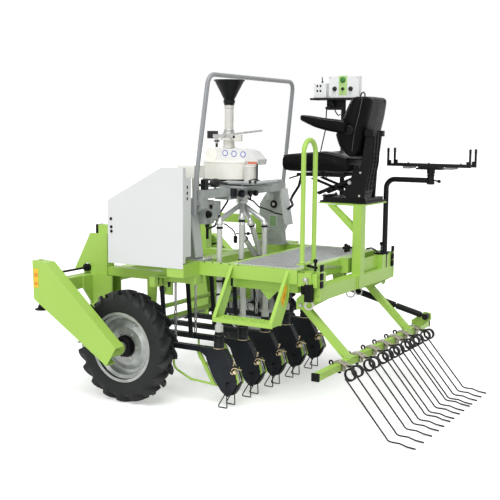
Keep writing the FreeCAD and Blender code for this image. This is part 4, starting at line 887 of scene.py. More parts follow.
lathe(bm, [(0, 0.0415), (0.004, 0.0415), (0.006, 0.0395)], at(-452, 75, 1434), (0, 0, 1), 36)
for x in (-215, -300, -380):
    block(bm, at(x, 20, 1544.8), at(x - 22, 40, 1549))
finished("hood_trim", bm, drum_cream, "machine", 0.0008)
bm = bmesh.new()
block(bm, at(-528, -152, 1331.2), at(-298, 152, 1333.2))
block(bm, at(-528, -152, 1333), at(-525.5, 152, 1345))
block(bm, at(-528, 149.5, 1333), at(-298, 152, 1345))
finished("outlet_tray", bm, bright_sheet, "machine", 0.0006)
bm = bmesh.new()
lathe(bm, [(0, 0.036), (0.004, 0.039), (0.020, 0.041), (0.034, 0.039), (0.040, 0.033), (0.052, 0.033),
           (0.056, 0.030)],
      at(drum_x, 0, 1614), (0, 0, 1), 40)
for angle in (0.7, 2.3, 3.9, 5.4):
    bolt(bm, at(drum_x + 48 * math.cos(angle), 48 * math.sin(angle), 1614.2), (0, 0, 1), 0.010)
collar(bm, 0.010, 0.013, 0.006, 0.018, at(-236, 36, 1633), (0, 1, 0), 24)
lathe(bm, [(0, 0.012), (0.010, 0.012), (0.012, 0.009), (0.028, 0.009)], at(-160, 14, 1606), (0, 0, -1), 20)
lever_start = at(-300, 36, 1640.5)
lever_end = at(-508, 22, 1665)
lever_way = lever_end - lever_start
for i in range(34):
    spot = lever_start + lever_way * (i / 34)
    collar(bm, 0.0051, 0.0062, 0.0010, 0.0044, spot, lever_way, 12)
finished("valve_metal", bm, zinc, "machine", 0.0005)
bm = bmesh.new()
block(bm, at(-151, -19, 1609.5), at(-105, 47, 1659))
lathe(bm, [(0, 0.008), (0.034, 0.008), (0.038, 0.005)], at(-160, 14, 1590), (0, 0, -1), 18)
block(bm, at(-174, -2, 1588), at(-148, 30, 1598))
finished("valve_knob", bm, knob_black, "machine", 0.004)
bm = bmesh.new()
block(bm, at(-366, 27, 1594), at(-320, 48.5, 1638))
block(bm, at(-322, 30, 1600), at(-300, 46, 1632))
finished("valve_tab", bm, tube_pale, "machine", 0.003)
bm = bmesh.new()
collar(bm, 0.024, 0.028, 0.004, 0.018, at(drum_x, 0, 1545.2), (0, 0, 1), 32)
collar(bm, 0.0365, 0.041, 0.004, 0.016, at(drum_x, 0, 1547), (0, 0, 1), 32)
collar(bm, 0.0295, 0.0325, 0.003, 0.019, at(drum_x, 0, 1806), (0, 0, 1), 32)
finished("neck_rings", bm, tube_pale, "machine", 0.0005)
bm = bmesh.new()
collar(bm, 0.0985, 0.1015, 0.002, 0.008, at(drum_x, 0, 1981), (0, 0, 1), 56)
collar(bm, 0.0345, 0.038, 0.003, 0.023, at(drum_x, 0, 1838), (0, 0, 1), 36)
finished("funnel_rings", bm, funnel_black, "machine", 0.0005)

# black screw knobs along the bridge and beside the distributor head
bm = bmesh.new()
block(bm, at(-366, 432, 1303), at(-334, 474, 1366))
rod(bm, at(-350, 386, 1334), at(-350, 510, 1334), 0.0075, 18)
lathe(bm, [(0, 0.010), (0.012, 0.016), (0.030, 0.026), (0.058, 0.028), (0.082, 0.024), (0.100, 0.012),
           (0.106, 0.006)],
      at(-350, 280, 1338), (0, 1, 0), 28)
rod(bm, at(-350, 190, 1330), at(-350, 282, 1336), 0.006, 14)
for x, y in ((-305, 20), (-404, -18)):
    lathe(bm, [(0, 0.010), (0.012, 0.010), (0.014, 0.019), (0.034, 0.019), (0.038, 0.014)], at(x, y, 1236),
          (0, 0, 1), 12)
    rod(bm, at(x, y, 1216), at(x, y, 1240), 0.005, 12)
    rod(bm, at(x, y, 1222), at(-352, 0, 1222), 0.006, 12)
for x in (-500, -540):
    rod(bm, at(x, 158, 1333), at(x, 158, 1352), 0.007, 14)
rod(bm, at(-505, 78, 1334), at(-505, 78, 1452), 0.0052, 12)
tube_along(bm, [at(-470, 130, 1342), at(-490, 136, 1352), at(-520, 130, 1358), at(-545, 110, 1352)], 0.004,
           10)
finished("head_knobs", bm, knob_black, "machine", 0.0016)

# ---------------------------------------------------------------- gearbox and towers
# Two cast towers carry the bridge. The left holds the gearbox with its shaft boss, the right a
# bearing boss, a sight window and a slanted cover; bolts hold their feet and covers.
window_green = painted("window_green", rgb(134, 168, 120), rgb(126, 158, 112), 0.25)
cover_light = painted("cover_light", rgb(196, 200, 199), rgb(186, 190, 189), 0.45)
coat("tower_covers", cover_light)
bm = bmesh.new()
lathe(bm, [(0, 0.013), (0, 0.027), (0.006, 0.027), (0.008, 0.024), (0.008, 0.013)], at(-335, -462, 1154),
      (0, 1, 0), 32, closed=True)
lathe(bm, [(0, 0.024), (0.006, 0.024), (0.010, 0.020), (0.022, 0.018), (0.026, 0.010)], at(-372.2, 452, 1151),
      (-1, 0, 0), 28)
lathe(bm, [(0, 0.014), (0.006, 0.014), (0.008, 0.010)], at(-372.2, 416, 1196), (-1, 0, 0), 20)
rod(bm, at(-350, 420, 995), at(-350, 420, 1066), 0.009, 16)
lathe(bm, [(0, 0.013), (0.016, 0.013), (0.020, 0.010)], at(-350, 420, 1070), (0, 0, 1), 16)
block(bm, at(-372.4, 306, 1112), at(-376, 330, 1136))
finished("tower_dark", bm, black_plastic, "machine", 0.0008)
bm = bmesh.new()
lathe(bm, [(0, 0.0115), (0.012, 0.0115), (0.015, 0.008)], at(-335, -466, 1154), (0, 1, 0), 24)
for y, z in ((388, 1100), (462, 1100), (388, 1226), (462, 1226), (425, 1100), (425, 1226)):
    bolt(bm, at(-370.2, y, z), (-1, 0, 0), 0.012)
for y, z in ((312, 1118), (368, 1118), (312, 1214), (368, 1214)):
    bolt(bm, at(-372.2, y, z), (-1, 0, 0), 0.010)
for y in (-530, 530, -400, 400, 300, -300):
    bolt(bm, at(-330, y, 1300.2 if abs(y) > 200 else 1312), (0, 0, 1), 0.014)
for side in (1, -1):
    for x, y in ((-398, 535), (-398, 465), (-228, 535), (-228, 465)):
        bolt(bm, at(x, side * y, 882.2), (0, 0, 1), 0.015)
    for x, y in ((-440, 150), (-440, -150), (-150, 150), (-150, -150)):
        bolt(bm, at(x, y, 1312.2), (0, 0, 1), 0.012)
    for z in (1220, 1236):
        bolt(bm, at(-367.2, side * 547, z), (-1, 0, 0), 0.009)
for x, z in ((-384, 1180), (-405, 1060)):
    bolt(bm, at(x, -461.8, z), (0, 1, 0), 0.008)
finished("tower_bolts", bm, zinc, "machine", 0.0004)
bm = bmesh.new()
block(bm, at(-300, -469.8, 1000), at(-352, -465, 1072))
finished("tower_window", bm, window_green, "machine", 0.002)
bm = bmesh.new()
block(bm, at(-292, -469.8, 992), at(-360, -467, 1080))
lathe(bm, [(0, 0.030), (0, 0.034), (0.004, 0.034), (0.004, 0.030)], at(-320, -469.8, 946), (0, 1, 0), 28,
      closed=True)
block(bm, at(-270, -469.8, 1180), at(-330, -465, 1225))
block(bm, at(-330, -470, 1250.2), at(-372, -520, 1262))
for z in (905, 940):
    block(bm, at(-345, 469.8, z), at(-225, 466, z + 8))
prism_y(bm, [(-232, 884), (-250, 884), (-268, 1080), (-258, 1080)], 469.6, 458)
finished("tower_ribs", bm, cover_light, "machine", 0.002)
bm = bmesh.new()
for y in (250, 236):
    block(bm, at(-391, y, 1252), at(-394, y - 4, 1298))
finished("bridge_ribs", bm, tower_grey, "machine", 0.001)
bm = bmesh.new()
block(bm, at(-400, 150, 1236), at(-340, 214, 1300))
lathe(bm, [(0, 0.020), (0.010, 0.024), (0.030, 0.024), (0.036, 0.016)], at(-402, 120, 1262), (-1, 0, 0), 24)
lathe(bm, [(0, 0.016), (0.016, 0.020), (0.030, 0.016)], at(-402, -60, 1256), (-1, 0, 0), 20)
finished("bridge_castings", bm, coulter_dark, "machine", 0.003)

# ---------------------------------------------------------------- distributor and seed tubes
# Bright tubes fan out from a small cast head and drop to the rows through clear hoses, held by
# dark clamp rings; a sensor hangs on a cable and a thin rod ties the tubes together.
tube_bright = bare_metal("tube_bright", rgb(214, 216, 214), rgb(186, 188, 187), 0.28, 260.0, 0.75)
coat("distributor", tube_bright)
seed_routes = [[(-413, 87, 985), (-428, -66, 833), (-500, -480, 590), (-534, -570, 550)],
               [(-455, 70, 1085), (-470, -45, 845), (-500, -230, 610), (-534, -285, 550)],
               [(-520, 0, 1083), (-523, 0, 800), (-534, 0, 600)],
               [(-512, 275, 1140), (-514, 280, 850), (-534, 285, 600)],
               [(-484, 490, 1125), (-484, 490, 740), (-534, 570, 600)]]
bm = bmesh.new()
for route in seed_routes:
    for start, end, share in ((0, 1, 0.12), (0, 1, 0.97), (1, 2, 0.5)):
        a = at(*route[start])
        b = at(*route[end])
        lathe(bm, [(-0.007, 0.0175), (-0.005, 0.0205), (0.005, 0.0205), (0.007, 0.0175)], a + (b - a) * share,
              b - a, 24)
rod(bm, at(-440, 223, 1016), at(-440, -112, 986), 0.0035, 10)
lathe(bm, [(-0.008, 0.004), (-0.006, 0.011), (0.006, 0.011), (0.008, 0.004)], at(-440, 72, 1002), (0, 1, 0),
      16)
tube_along(bm, [at(-440, 370, 1090), at(-440, 340, 1082), at(-440, 312, 1066), at(-440, 270, 1048),
                at(-440, 243, 1028), at(-440, 230, 1000)], 0.004, 10)
lathe(bm, [(0, 0.010), (0.004, 0.012), (0.040, 0.012), (0.046, 0.008)], at(-440, 230, 1002), (0, 0, -1), 16)
finished("tube_clamps", bm, black_plastic, "machine", 0.0006)
bm = bmesh.new()
collar(bm, 0.049, 0.052, 0.004, 0.016, at(-350, 0, 1230), (0, 0, 1), 32)
collar(bm, 0.036, 0.040, 0.004, 0.016, at(-350, 0, 1192), (0, 0, 1), 32)
for route in seed_routes:
    a = at(*route[0])
    lathe(bm, [(-0.030, 0.0178), (-0.024, 0.0215), (-0.012, 0.0215), (-0.006, 0.0178)], a, (0, 0, 1), 24)
finished("distributor_bands", bm, tube_bright, "machine", 0.0006)

# ---------------------------------------------------------------- fittings of the frame
# Bolts, tube caps, weld beads, spring pins, ring eyes and a star knob on the welded green frame, with
# blank yellow plates on the arms and the step, and the latch gear at both rear corners.
sticker_yellow = painted("sticker_yellow", rgb(236, 190, 52), rgb(230, 180, 44), 0.45, rgb(240, 210, 90))
sticker_orange = painted("sticker_orange", rgb(222, 140, 44), rgb(214, 130, 38), 0.45, rgb(230, 160, 70))


def prism_x(bm, outline, x0, x1):
    """Flat plate between two X planes from an outline of (y, z) points."""
    skin(bm, [[at(x, y, z) for y, z in outline] for x in (x0, x1)])


bm = bmesh.new()
for side in (1, -1):
    block(bm, at(552, side * 1000.2, 688), at(514, side * 1001.2, 806))
prism_x(bm, ((638, 664), (668, 712), (604, 802), (590, 762)), -1006.3, -1007.2)
finished("warning_plates", bm, sticker_yellow, "machine")
bm = bmesh.new()
block(bm, at(546, 1001.3, 756), at(520, 1001.9, 778))
block(bm, at(546, 1001.3, 704), at(520, 1001.9, 722))
prism_x(bm, ((628, 704), (640, 727), (622, 752), (612, 730)), -1007.4, -1007.9)
prism_x(bm, ((636, 684), (646, 706), (654, 694), (642, 676)), -1007.4, -1007.9)
finished("warning_fields", bm, sticker_orange, "machine")


rear_face = -1190
beam_x = -1150
bm = bmesh.new()
for y in (528, -543):
    for z in (797, 843, 893):
        block(bm, at(rear_face - 0.2, y - 16, z - 19), at(-1200, y + 16, z + 19))
        block(bm, at(-1200, y - 10, z - 12), at(-1203, y + 10, z + 12))
for side in (1, -1):
    block(bm, at(358.2, side * 609, 997), at(378, side * 547, 1059))
    block(bm, at(-200.2, side * 606, 1000), at(-206, side * 550, 1056))
block(bm, at(-1158, 592, 700), at(-1116, 550, 800))
for y in (-136, -238):
    lathe(bm, [(0, 0.010), (0.012, 0.010), (0.013, 0.016), (0.026, 0.014), (0.030, 0.008)], at(-1040, y, 792),
          (0, 0, -1), 16)
rod(bm, at(-1094, 560, 738), at(-1094, 560, 786), 0.014, 18)
rod(bm, at(beam_x, 521, 860), at(beam_x, 521, 925), 0.007, 14)
rod(bm, at(-1175, 556, 896), at(-1090, 500, 896), 0.008, 14)
lathe(bm, [(-0.012, 0.006), (-0.008, 0.012), (0.008, 0.012), (0.012, 0.006)], at(beam_x, 521, 930), (0, 0, 1),
      18)
rod(bm, at(beam_x, -452, 872), at(beam_x, -452, 926), 0.005, 14)
lathe(bm, [(-0.011, 0.005), (-0.006, 0.011), (0.006, 0.011), (0.011, 0.005)], at(beam_x, -452, 934),
      (0, 0, 1), 18)
block(bm, at(-1120, -400, 868), at(-1186, -510, 878))
tube_along(bm, [at(beam_x, -214, 925), at(-1158, -270, 924), at(-1160, -330, 905), at(-1160, -380, 880),
                at(-1156, -406, 862), at(beam_x, -414, 846)], 0.0055, 10)
star_way = Vector((0.3, 1.0, 0)).normalized()
star_root = at(-1112, -8, 948)
side_way, up_way = cross_frame(star_way)
rod(bm, star_root - star_way * 0.050, star_root, 0.007, 14)
lathe(bm, [(0, 0.010), (0.006, 0.017), (0.020, 0.018), (0.026, 0.010)], star_root, star_way, 8)
for k in range(5):
    a = 2 * math.pi * k / 5
    spot = star_root + star_way * 0.013 + (side_way * math.cos(a) + up_way * math.sin(a)) * 0.019
    lathe(bm, [(-0.010, 0.007), (-0.007, 0.010), (0.007, 0.010), (0.010, 0.007)], spot, star_way, 12)
for side in (1, -1):
    lathe(bm, [(0, 0.016), (0.004, 0.016), (0.006, 0.012)], at(440, side * 640.3, 777), (0, side, 0), 24)
for x, z in ((146, 1118), (144, 1068), (143, 1041)):
    bolt(bm, at(x, 745.2, z), (0, 1, 0), 0.013)
for i in range(5):
    block(bm, at(-420 - i * 60, 571, 872), at(-432 - i * 60, 572.2, 876))
for z in (1330, 1296, 1262):
    block(bm, at(-388.3, 694, z - 9), at(-389.4, 706, z + 9))
finished("frame_caps", bm, black_plastic, "machine", 0.0016)

bm = bmesh.new()


def eye(bm, centre, axis, radius, wire):
    """Ring eye: a torus standing on its own plane."""
    side_way, up_way = cross_frame(axis)
    tube_along(bm, circle(centre, side_way, up_way, radius, 24), wire, 10, True)


eye(bm, at(beam_x, 22, 672), (-0.5, 0.86, 0.1), 0.025, 0.0046)
eye(bm, at(beam_x, -96, 668), (-0.7, 0.6, 0.3), 0.024, 0.0044)
rod(bm, at(-1132, 545, 828), at(-1132, 608, 832), 0.007, 16)
collar(bm, 0.007, 0.013, 0.004, 0.016, at(-1132, 608, 832), (0, 1, 0), 20)
rod(bm, at(-1132, 590, 800), at(-1132, 590, 832), 0.004, 10)
rod(bm, at(-1066, 235, 855), at(-1066, -20, 826), 0.005, 12)
for x in (-1168, -1128):
    rod(bm, at(x, -94, 690), at(x, -94, 790), 0.0055, 12)
    bolt(bm, at(x, -94, 788), (0, 0, 1), 0.014)
for side in (1, -1):
    for x, z in ((210, 396), (172, 378)):
        bolt(bm, at(x, side * 985, z - 12), (0, 0, -1), 0.016)
    bolt(bm, at(-170, side * 578, 1058.2), (0, 0, 1), 0.013)
for y in (600, 540, -540, -600):
    bolt(bm, at(-196, y, 885.2), (0, 0, 1), 0.014)
for y, way in ((473, 1), (407, -1), (-467, 1), (-533, -1)):
    bolt(bm, at(-1035, y, 655), (0, way, 0), 0.017)
finished("frame_bolts", bm, zinc, "machine", 0.0004)

# weld beads, the frame's eyes and the gussets of the rear corners
jack_x = 530
jack_y = 955
bm = bmesh.new()


def bead(bm, start, end):
    """Weld bead: a chain of flat beads along a seam."""
    size = 0.0035
    start = Vector(start)
    along = Vector(end) - start
    count = max(2, int(along.length / (size * 1.7)))
    points = [start + along * (i / count) for i in range(count + 1)]
    side_way, up_way = cross_frame(along)
    rings = []
    for i, point in enumerate(points):
        radius = size * (1.0 if i % 2 else 0.82)
        rings.append(circle(point, side_way, up_way, radius, 8))
    skin(bm, rings)


for y in (535, -575):
    bead(bm, at(rear_face, y, 705), at(rear_face, y, 866))
for y in (-90, -30):
    bead(bm, at(rear_face, y, 781), at(-1130, y, 781))
bead(bm, at(-1130, -80, 1208), at(-990, -80, 1208))
for x in (-608, -1006):
    bead(bm, at(x, 571, 712), at(x, 571, 862))
bead(bm, at(-1108, 456, 907), at(-1064, 456, 907))
for side in (1, -1):
    lathe(bm, [(0, 0.0150), (0, 0.0205), (0.026, 0.0205), (0.026, 0.0150)], at(jack_x, side * jack_y, 584),
          (0, 0, 1), 28, closed=True)
eye(bm, at(beam_x, -506, 684), (1.0, 0.0, 0.0), 0.022, 0.0060)
prism_x(bm, ((-110, 868), (-396, 868), (-396, 784), (-110, 784)), beam_x, -1156)
for y in (-2, 24):
    block(bm, at(rear_face - 0.3, y - 4, 702), at(-1197, y + 4, 786))
for x, z in ((-1104, 846), (-1104, 806), (-1176, 846), (-1176, 738)):
    bolt(bm, at(x, 535.2, z), (0, 1, 0), 0.013)
    bolt(bm, at(x, -575.2, z), (0, -1, 0), 0.013)
block(bm, at(-1108, -20, 786), at(-1044, -250, 880))
block(bm, at(-1152, 580, 782), at(-1112, 536, 868))
finished("frame_welds", bm, frame_green, "machine", 0.0008)
bm = bmesh.new()
eye(bm, at(-1128, 548, 674), (-0.5, 0.86, 0.0), 0.023, 0.0060)
finished("corner_eye", bm, tube_pale, "machine")

# ---------------------------------------------------------------- handrail collar and step edge
# The handrail's legs stand in turned collars with a flat ring between them. The step's tread is a
# folded sheet whose round holes have pressed lips, for grip and to let the mud through.
bm = bmesh.new()
for y in (564, 416):
    lathe(bm, [(0, 0.0142), (0.002, 0.0175), (0.008, 0.0175), (0.012, 0.0142)], at(-1086, y, 915), (0, 0, 1),
          28)
lathe(bm, [(0, 0.0285), (0.004, 0.0285), (0.004, 0.0200), (0, 0.0200)], at(-1086, 490, 860), (0, 0, 1), 28,
      closed=True)
for i in range(6):
    for j in range(2):
        lathe(bm, [(0, 0.0100), (0, 0.0165), (0.0016, 0.0150), (0.0030, 0.0122), (0.0030, 0.0104)],
              at(-958 + i * 60, 686 + j * 46, 587.2), (0, 0, 1), 24, closed=True)
finished("step_lips", bm, frame_green, "machine", 0.0004)

# ---------------------------------------------------------------- platform grating
# Galvanised safety grating: a folded sheet with rows of open, raised ridges across the walk, between
# the platform's beams. The ridges are real relief, so that the floor glints from any side.
grating_low, grating_high = [Vector(c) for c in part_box("grating")]
bm = bmesh.new()
pitch = 0.030
across = 0.0165
ridge_room = 0.024
ridge_width = 0.0075
sheet = 0.0016
columns = int((grating_high.x - grating_low.x - 0.010) / pitch)
lines = int((grating_high.y - grating_low.y - 0.012) / across)
z = grating_high.z
outline = ((0.0, -0.0008), (0.006, 0.0045), (0.017, 0.0045), (0.023, -0.0008))
for j in range(lines):
    y = grating_low.y + 0.008 + j * across
    shift = 0.5 * pitch * (j % 2)
    for i in range(columns):
        x = grating_low.x + 0.006 + shift + i * pitch
        if x + ridge_room > grating_high.x:
            continue
        near = [Vector((x + a, y, z + b)) for a, b in outline]
        far = [Vector((x + a, y + ridge_width, z + b)) for a, b in outline]
        skin(bm, [near, far], closed_ring=False, cap=False)
        under = [[Vector((p.x, p.y, p.z - sheet)) for p in reversed(line)] for line in (near, far)]
        skin(bm, under, closed_ring=False, cap=False)
finished("grating_ridges", bm, grating_zinc, "machine")
# Under the ridges the sheet is painted darker grey in cells: painted shade for the open holes, with bright
# flat sheet between them.
grating_floor = Finish("grating_floor")
hole_shade = grating_floor.node("ShaderNodeTexBrick", {"offset": 0.5, "squash": 1.0},
                           {"Vector": grating_floor.place, "Color1": (0, 0, 0, 1), "Color2": (0, 0, 0, 1),
                            "Mortar": (1, 1, 1, 1), "Scale": 1.0, "Mortar Size": 0.0042, "Brick Width": pitch,
                            "Row Height": across, "Mortar Smooth": 0.2})
grating_floor.feed(Base_Color=grating_floor.mixed(hole_shade, rgb(150, 152, 154), rgb(242, 244, 245)),
                   Metallic=0.05, Roughness=0.45)
coat("grating", grating_floor.material)

# ---------------------------------------------------------------- coulters
# Each cast coulter has a thin brass ring below its cup, black clamp rings round its hose, and a brass
# spring clip that holds the black bracket on its rear edge, with a bright spring rod, a green strip,
# and thin bright strips of painted highlight beside it.
brass = bare_metal("brass", rgb(222, 204, 172), rgb(198, 176, 140), 0.35, 260.0, 0.45)
rows = [285 * k for k in range(-2, 3)]
cup_x = -534
bm = bmesh.new()
for y in rows:
    collar(bm, 0.0305, 0.0343, 0.001, 0.005, at(cup_x, y, 353), (0, 0, 1), 32)
    tube_along(bm, [at(-640, y + 27, 236), at(-652, y + 30, 250), at(-668, y + 28, 252),
                    at(-684, y + 16, 244), at(-690, y, 238), at(-684, y - 16, 234), at(-664, y - 27, 232)],
               0.0036, 8)
    tube_along(bm, [at(-632, y + 25, 224), at(-640, y + 28, 214), at(-650, y + 27, 212)], 0.0036, 8)
    lathe(bm, [(0, 0.010), (0.004, 0.012), (0.012, 0.012), (0.016, 0.008)], at(-662, y + 24, 226),
          (-0.3, 1, 0.1), 16)
    rod(bm, at(-648, y + 20, 262), at(-655, y + 22, 284), 0.0030, 8)
    lathe(bm, [(-0.004, 0.004), (0.0, 0.008), (0.004, 0.004)], at(-655, y + 22, 286), (0.3, 1, 0), 12)
finished("coulter_clips", bm, brass, "machine", 0.0003)
bm = bmesh.new()
bracket = [(-646, 256), (-664, 258), (-690, 196), (-694, 160), (-676, 118), (-652, 84), (-632, 76),
           (-628, 92), (-652, 118), (-662, 168), (-652, 214)]
for y in rows:
    prism_y(bm, bracket, y - 15, y + 15)
    lathe(bm, [(0, 0.0295), (0.004, 0.0295), (0.006, 0.0265), (0.020, 0.0260), (0.022, 0.0230)],
          at(cup_x, y, 436), (0, 0, 1), 28)
    for k in range(4):
        collar(bm, 0.0315, 0.0332, 0.0015, 0.0065, at(cup_x, y, 394 + k * 11),
              (0, 0, 1), 28)
bmesh.ops.recalc_face_normals(bm, faces=bm.faces)
finished("coulter_brackets", bm, black_coat, "machine", 0.0014)
# Thin bright zinc strips on both sides of each bracket: painted highlights along the edges of its slot.
glint_strips = [[(-670, 236), (-676, 232), (-693, 168), (-688, 160)],
                 [(-648, 226), (-652, 226), (-672, 152), (-668, 148)]]
bm = bmesh.new()
for y in rows:
    for side in (1, -1):
        for strip in glint_strips:
            prism_y(bm, strip, y + side * 15.2, y + side * 16.8)
    rod(bm, at(-672, y + 10, 240), at(-697, y + 10, 172), 0.0030, 8)
bmesh.ops.recalc_face_normals(bm, faces=bm.faces)
finished("coulter_spring_and_glints", bm, zinc, "machine", 0.0003)
bm = bmesh.new()
guide_strip = [(-652, 250), (-666, 252), (-700, 168), (-694, 150), (-684, 160)]
inner_strip = [(-655, 240), (-668, 240), (-688, 168), (-674, 146)]
for y in rows:
    prism_y(bm, guide_strip, y - 22, y - 19)
    prism_y(bm, inner_strip, y + 15.2, y + 16.4)
bmesh.ops.recalc_face_normals(bm, faces=bm.faces)
finished("coulter_strips", bm, frame_green, "machine", 0.0006)

# ---------------------------------------------------------------- lift chains and their hangers
# Flat black hangers hold the chains behind the keyhole bar. Each slot of the bar is a thin dark mark of
# painted shade, a straight leg with a round head, standing for the open slot.
bm = bmesh.new()
for y in rows:
    chain_y = math.copysign(584, y) if abs(y) > 540 else y
    block(bm, at(-172, chain_y - 9, 776), at(-182, chain_y + 9, 700))
    # Thin dark marks on the bar's face: painted shade for its open keyhole slots.
    for k in (-2, -1, 1, 2):
        block(bm, at(-150.3, y + k * 44 - 4, 722), at(-151.4, y + k * 44 + 4, 756))
        lathe(bm, [(0, 0.0075), (0.0012, 0.0075)], at(-150.2, y + k * 44, 757), (-1, 0, 0), 16)
finished("chain_hangers_and_slot_shade", bm, black_coat, "machine", 0.0006)

# ---------------------------------------------------------------- harrow
# Spring-steel tines in pairs: each leg winds into an open coil, a short bridge joins the pair, and a
# grey clamp plate holds its root on the square bar. Hooks and flange bolts stand along the bar.
bar_x = -1345
bar_z = 358
wire = 0.0048
coil_x = -1468
coil_z = 350
coil_radius = 31
kink_x = -1704
kink_z = 24
tip_x = -1860
coil_turns = 4
coil_pitch = 10
coil_width = coil_pitch * (coil_turns - 1)
coil_top = coil_z + coil_radius
harrow_arms = (440, -500)
clamp_shift = -8
pair_legs = [(727, 600), (470, 358), (266, 157), (88, -17), (-98, -206), (-258, -353), (-448, -551)]
reach = math.hypot(coil_x - kink_x, coil_z - kink_z)
lean = math.atan2(coil_z - kink_z, coil_x - kink_x) - math.asin(coil_radius / reach)
run = math.sqrt(reach ** 2 - coil_radius ** 2)


def tine(bm, leg_y, side):
    """One leg from its tip up to the coil, round the coil, and into the clamp."""
    meet_x = kink_x + run * math.cos(lean)
    meet_z = kink_z + run * math.sin(lean)
    points = [(tip_x, leg_y, 5.0), (tip_x + 50, leg_y, 9.0), (kink_x - 66, leg_y, 20.0),
              (kink_x - 24, leg_y, 19.5), (kink_x - 8, leg_y, 21.0), (kink_x + 4, leg_y, 28.0),
              (kink_x + 16, leg_y, 44.0)]
    points += [(kink_x + run * math.cos(lean) * s, leg_y, kink_z + run * math.sin(lean) * s)
               for s in (0.2, 0.4, 0.6, 0.8, 0.95)]
    start = math.atan2(meet_z - coil_z, meet_x - coil_x)
    steps = int(coil_turns * 26)
    sweep = (math.pi / 2 - start) - 2 * math.pi * (coil_turns - 1)
    for k in range(steps + 1):
        a = start + sweep * k / steps
        y = leg_y - side * coil_width * k / steps
        points.append((coil_x + coil_radius * math.cos(a), y, coil_z + coil_radius * math.sin(a)))
    end_y = leg_y - side * coil_width
    if side == 1:
        points += [(coil_x + 6, end_y - 4, coil_top), (coil_x + 10, end_y - 14, coil_top)]
    else:
        points += [(coil_x + 22, end_y - 2, coil_top - 2), (coil_x + 46, end_y - 14, bar_z + 12),
                   (bar_x - 44, end_y - 24, bar_z + 10), (bar_x - 24, end_y - 26, bar_z + 8)]
    tube_along(bm, [at(*p) for p in points], wire, 8)


bm = bmesh.new()
for left_y, right_y in pair_legs:
    tine(bm, left_y, 1)
    tine(bm, right_y, -1)
    rod(bm, at(coil_x + 10, left_y - coil_width - 13, coil_top),
        at(coil_x + 24, right_y + coil_width - 4, coil_top - 3), wire, 10)
tines = finished("tine_springs", bm, spring_black, "harrow", 0.0, 60)
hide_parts("harrow_tines")

clamp_grey = bare_metal("clamp_grey", rgb(170, 165, 147), rgb(152, 148, 131), 0.45, 200.0, 0.35)
coat("tine_clamps", clamp_grey)
saddle = [(bar_x + a, bar_z + b) for a, b in ((26, 21), (26, 28), (-23, 28), (-32, 23), (-88, -6), (-88, -11),
                                              (-31, 16), (-21, 21))]
bm = bmesh.new()
for left_y, right_y in pair_legs:
    y = right_y + clamp_shift
    prism_y(bm, saddle, y - 26, y + 26)
bmesh.ops.recalc_face_normals(bm, faces=bm.faces)
finished("clamp_plates", bm, clamp_grey, "harrow", 0.0016)
bm = bmesh.new()
for left_y, right_y in pair_legs:
    bolt(bm, at(bar_x - 4, right_y + clamp_shift, bar_z + 28.2), (0, 0, 1), 0.013, 0.005)
for arm_y in harrow_arms:
    for dy in (-30, 30):
        for x in (bar_x - 8, bar_x + 12):
            bolt(bm, at(x, arm_y + dy, bar_z + 20.4), (0, 0, 1), 0.012)
finished("harrow_bolts", bm, zinc, "harrow", 0.0003)
bm = bmesh.new()
for left_y, right_y in pair_legs:
    y = right_y + clamp_shift + 46
    points = []
    for k in range(16):
        a = math.radians(-70 + 250 * k / 15)
        points.append(at(bar_x + 26 + 12 * math.cos(a), y + k * 0.6, bar_z + 26 + 13 * math.sin(a)))
    points.append(at(bar_x + 13, y + 10, bar_z + 20.5))
    tube_along(bm, points, 0.0052, 8)
    lathe(bm, [(0, 0.011), (0.010, 0.011), (0.013, 0.007)],
          at(bar_x - 8, right_y + clamp_shift + 12, bar_z - 25.5), (0, 0, -1), 14)
finished("harrow_hooks", bm, black_coat, "harrow")
flange = [(bar_x + a, bar_z + b) for a, b in ((-18, 26), (48, 26), (58, 62), (26, 34))]
bm = bmesh.new()
for arm_y in harrow_arms:
    block(bm, at(bar_x - 22, arm_y - 42, bar_z + 20.3), at(bar_x + 24, arm_y + 42, bar_z + 26))
    for side in (1, -1):
        prism_y(bm, flange, arm_y + side * 20.3, arm_y + side * 25.3)
bmesh.ops.recalc_face_normals(bm, faces=bm.faces)
finished("harrow_flanges", bm, frame_green, "harrow", 0.0010)

# ---------------------------------------------------------------- box rack and its arm
# A flat rack of black tube on a swinging arm: rubber stops at its posts, grey pads under its rails
# and a clamp knob on its spindle.
pad_grey = moulded("pad_grey", rgb(138, 140, 134), rgb(122, 124, 119), 0.5)
rack_rails = (-506, -394)
rack_x = -1475
rack_y = -450
bm = bmesh.new()
for x in (-1732, -1218):
    for y in rack_rails:
        block(bm, at(x - 8, y - 8, 1466.3), at(x + 10, y + 8, 1486))
for x in (-1744, -1206):
    for y in rack_rails:
        lathe(bm, [(0, 0.0064), (0.004, 0.0080), (0.009, 0.0076), (0.013, 0.0040)], at(x, y, 1550), (0, 0, 1),
              14)
block(bm, at(-1560, -496, 1430), at(-1390, -404, 1440))
rod(bm, at(rack_x, rack_y, 1402), at(rack_x, rack_y, 1432), 0.026, 24)
finished("rack_stops", bm, black_coat, "box_rack", 0.0014)
bm = bmesh.new()
for x in (-1610, -1330):
    block(bm, at(x - 22, -512, 1434), at(x + 22, -388, 1447.6))
for x in (-1650, -1440, -1300):
    lathe(bm, [(0, 0.006), (0.004, 0.006), (0.006, 0.004)], at(x, -506, 1466.2), (0, 0, 1), 12)
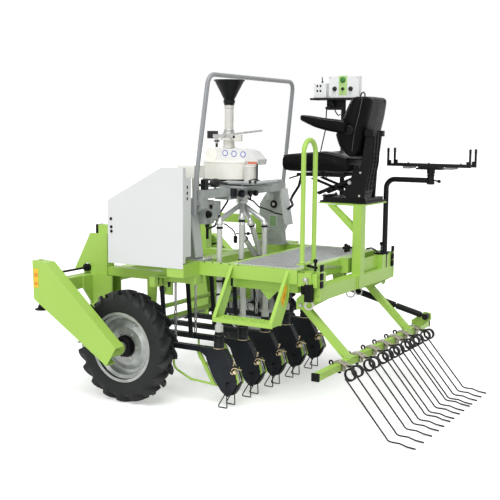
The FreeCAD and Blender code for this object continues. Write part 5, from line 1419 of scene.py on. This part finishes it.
finished("rack_pads", bm, pad_grey, "box_rack", 0.002)
bm = bmesh.new()
rod(bm, at(-1497, rack_y, 1362), at(-1522, rack_y, 1358), 0.005, 12)
lathe(bm, [(0, 0.006), (0.006, 0.011), (0.016, 0.011), (0.022, 0.005)], at(-1520, rack_y, 1358),
      (-1, 0, -0.15), 16)
collar(bm, 0.0225, 0.0255, 0.003, 0.017, at(rack_x, rack_y, 1337), (0, 0, 1), 28)
lathe(bm, [(0, 0.0225), (0.003, 0.0250), (0.008, 0.0250), (0.010, 0.0225)], at(rack_x, rack_y, 1388),
      (0, 0, 1), 28)
finished("arm_knob", bm, black_coat, "rack_arm", 0.0006)

# ---------------------------------------------------------------- jack feet and strut
# Black moulded feet with a ribbed skirt under the front of each arm. The gas strut of the harrow has a
# black tube, and a sleeve covers its rod.
for side, sign in (("left", 1), ("right", -1)):
    foot_y = sign * jack_y
    bm = bmesh.new()
    lathe(bm, [(0, 0.0425), (0.003, 0.044), (0.006, 0.0425)], at(jack_x, foot_y, 543), (0, 0, 1), 32)
    for k in range(8):
        a = 2 * math.pi * k / 8
        rod(bm, at(jack_x + 25 * math.cos(a), foot_y + 25 * math.sin(a), 555),
            at(jack_x + 18 * math.cos(a), foot_y + 18 * math.sin(a), 574), 0.0022, 8)
    finished("foot_ribs_" + side, bm, black_plastic, "jack_foot_" + side)
bm = bmesh.new()
strut_head = at(-800, -565, 616)
strut_foot = at(-1433, -565, 457)
strut_way = (strut_foot - strut_head).normalized()
strut_long = (strut_foot - strut_head).length
rod_sleeve_from = 0.436
rod_sleeve_long = strut_long - 0.468
lathe(bm, [(0, 0.0120), (0.004, 0.0200), (rod_sleeve_long - 0.008, 0.0200), (rod_sleeve_long, 0.0120)],
      strut_head + strut_way * rod_sleeve_from, strut_way, 28)
finished("strut_sleeve", bm, black_coat, "strut_rod")
bm = bmesh.new()
collar(bm, 0.0150, 0.0212, 0.006, 0.402, strut_head + strut_way * 0.028, strut_way, 28)
finished("strut_collars", bm, black_coat, "strut_barrel")
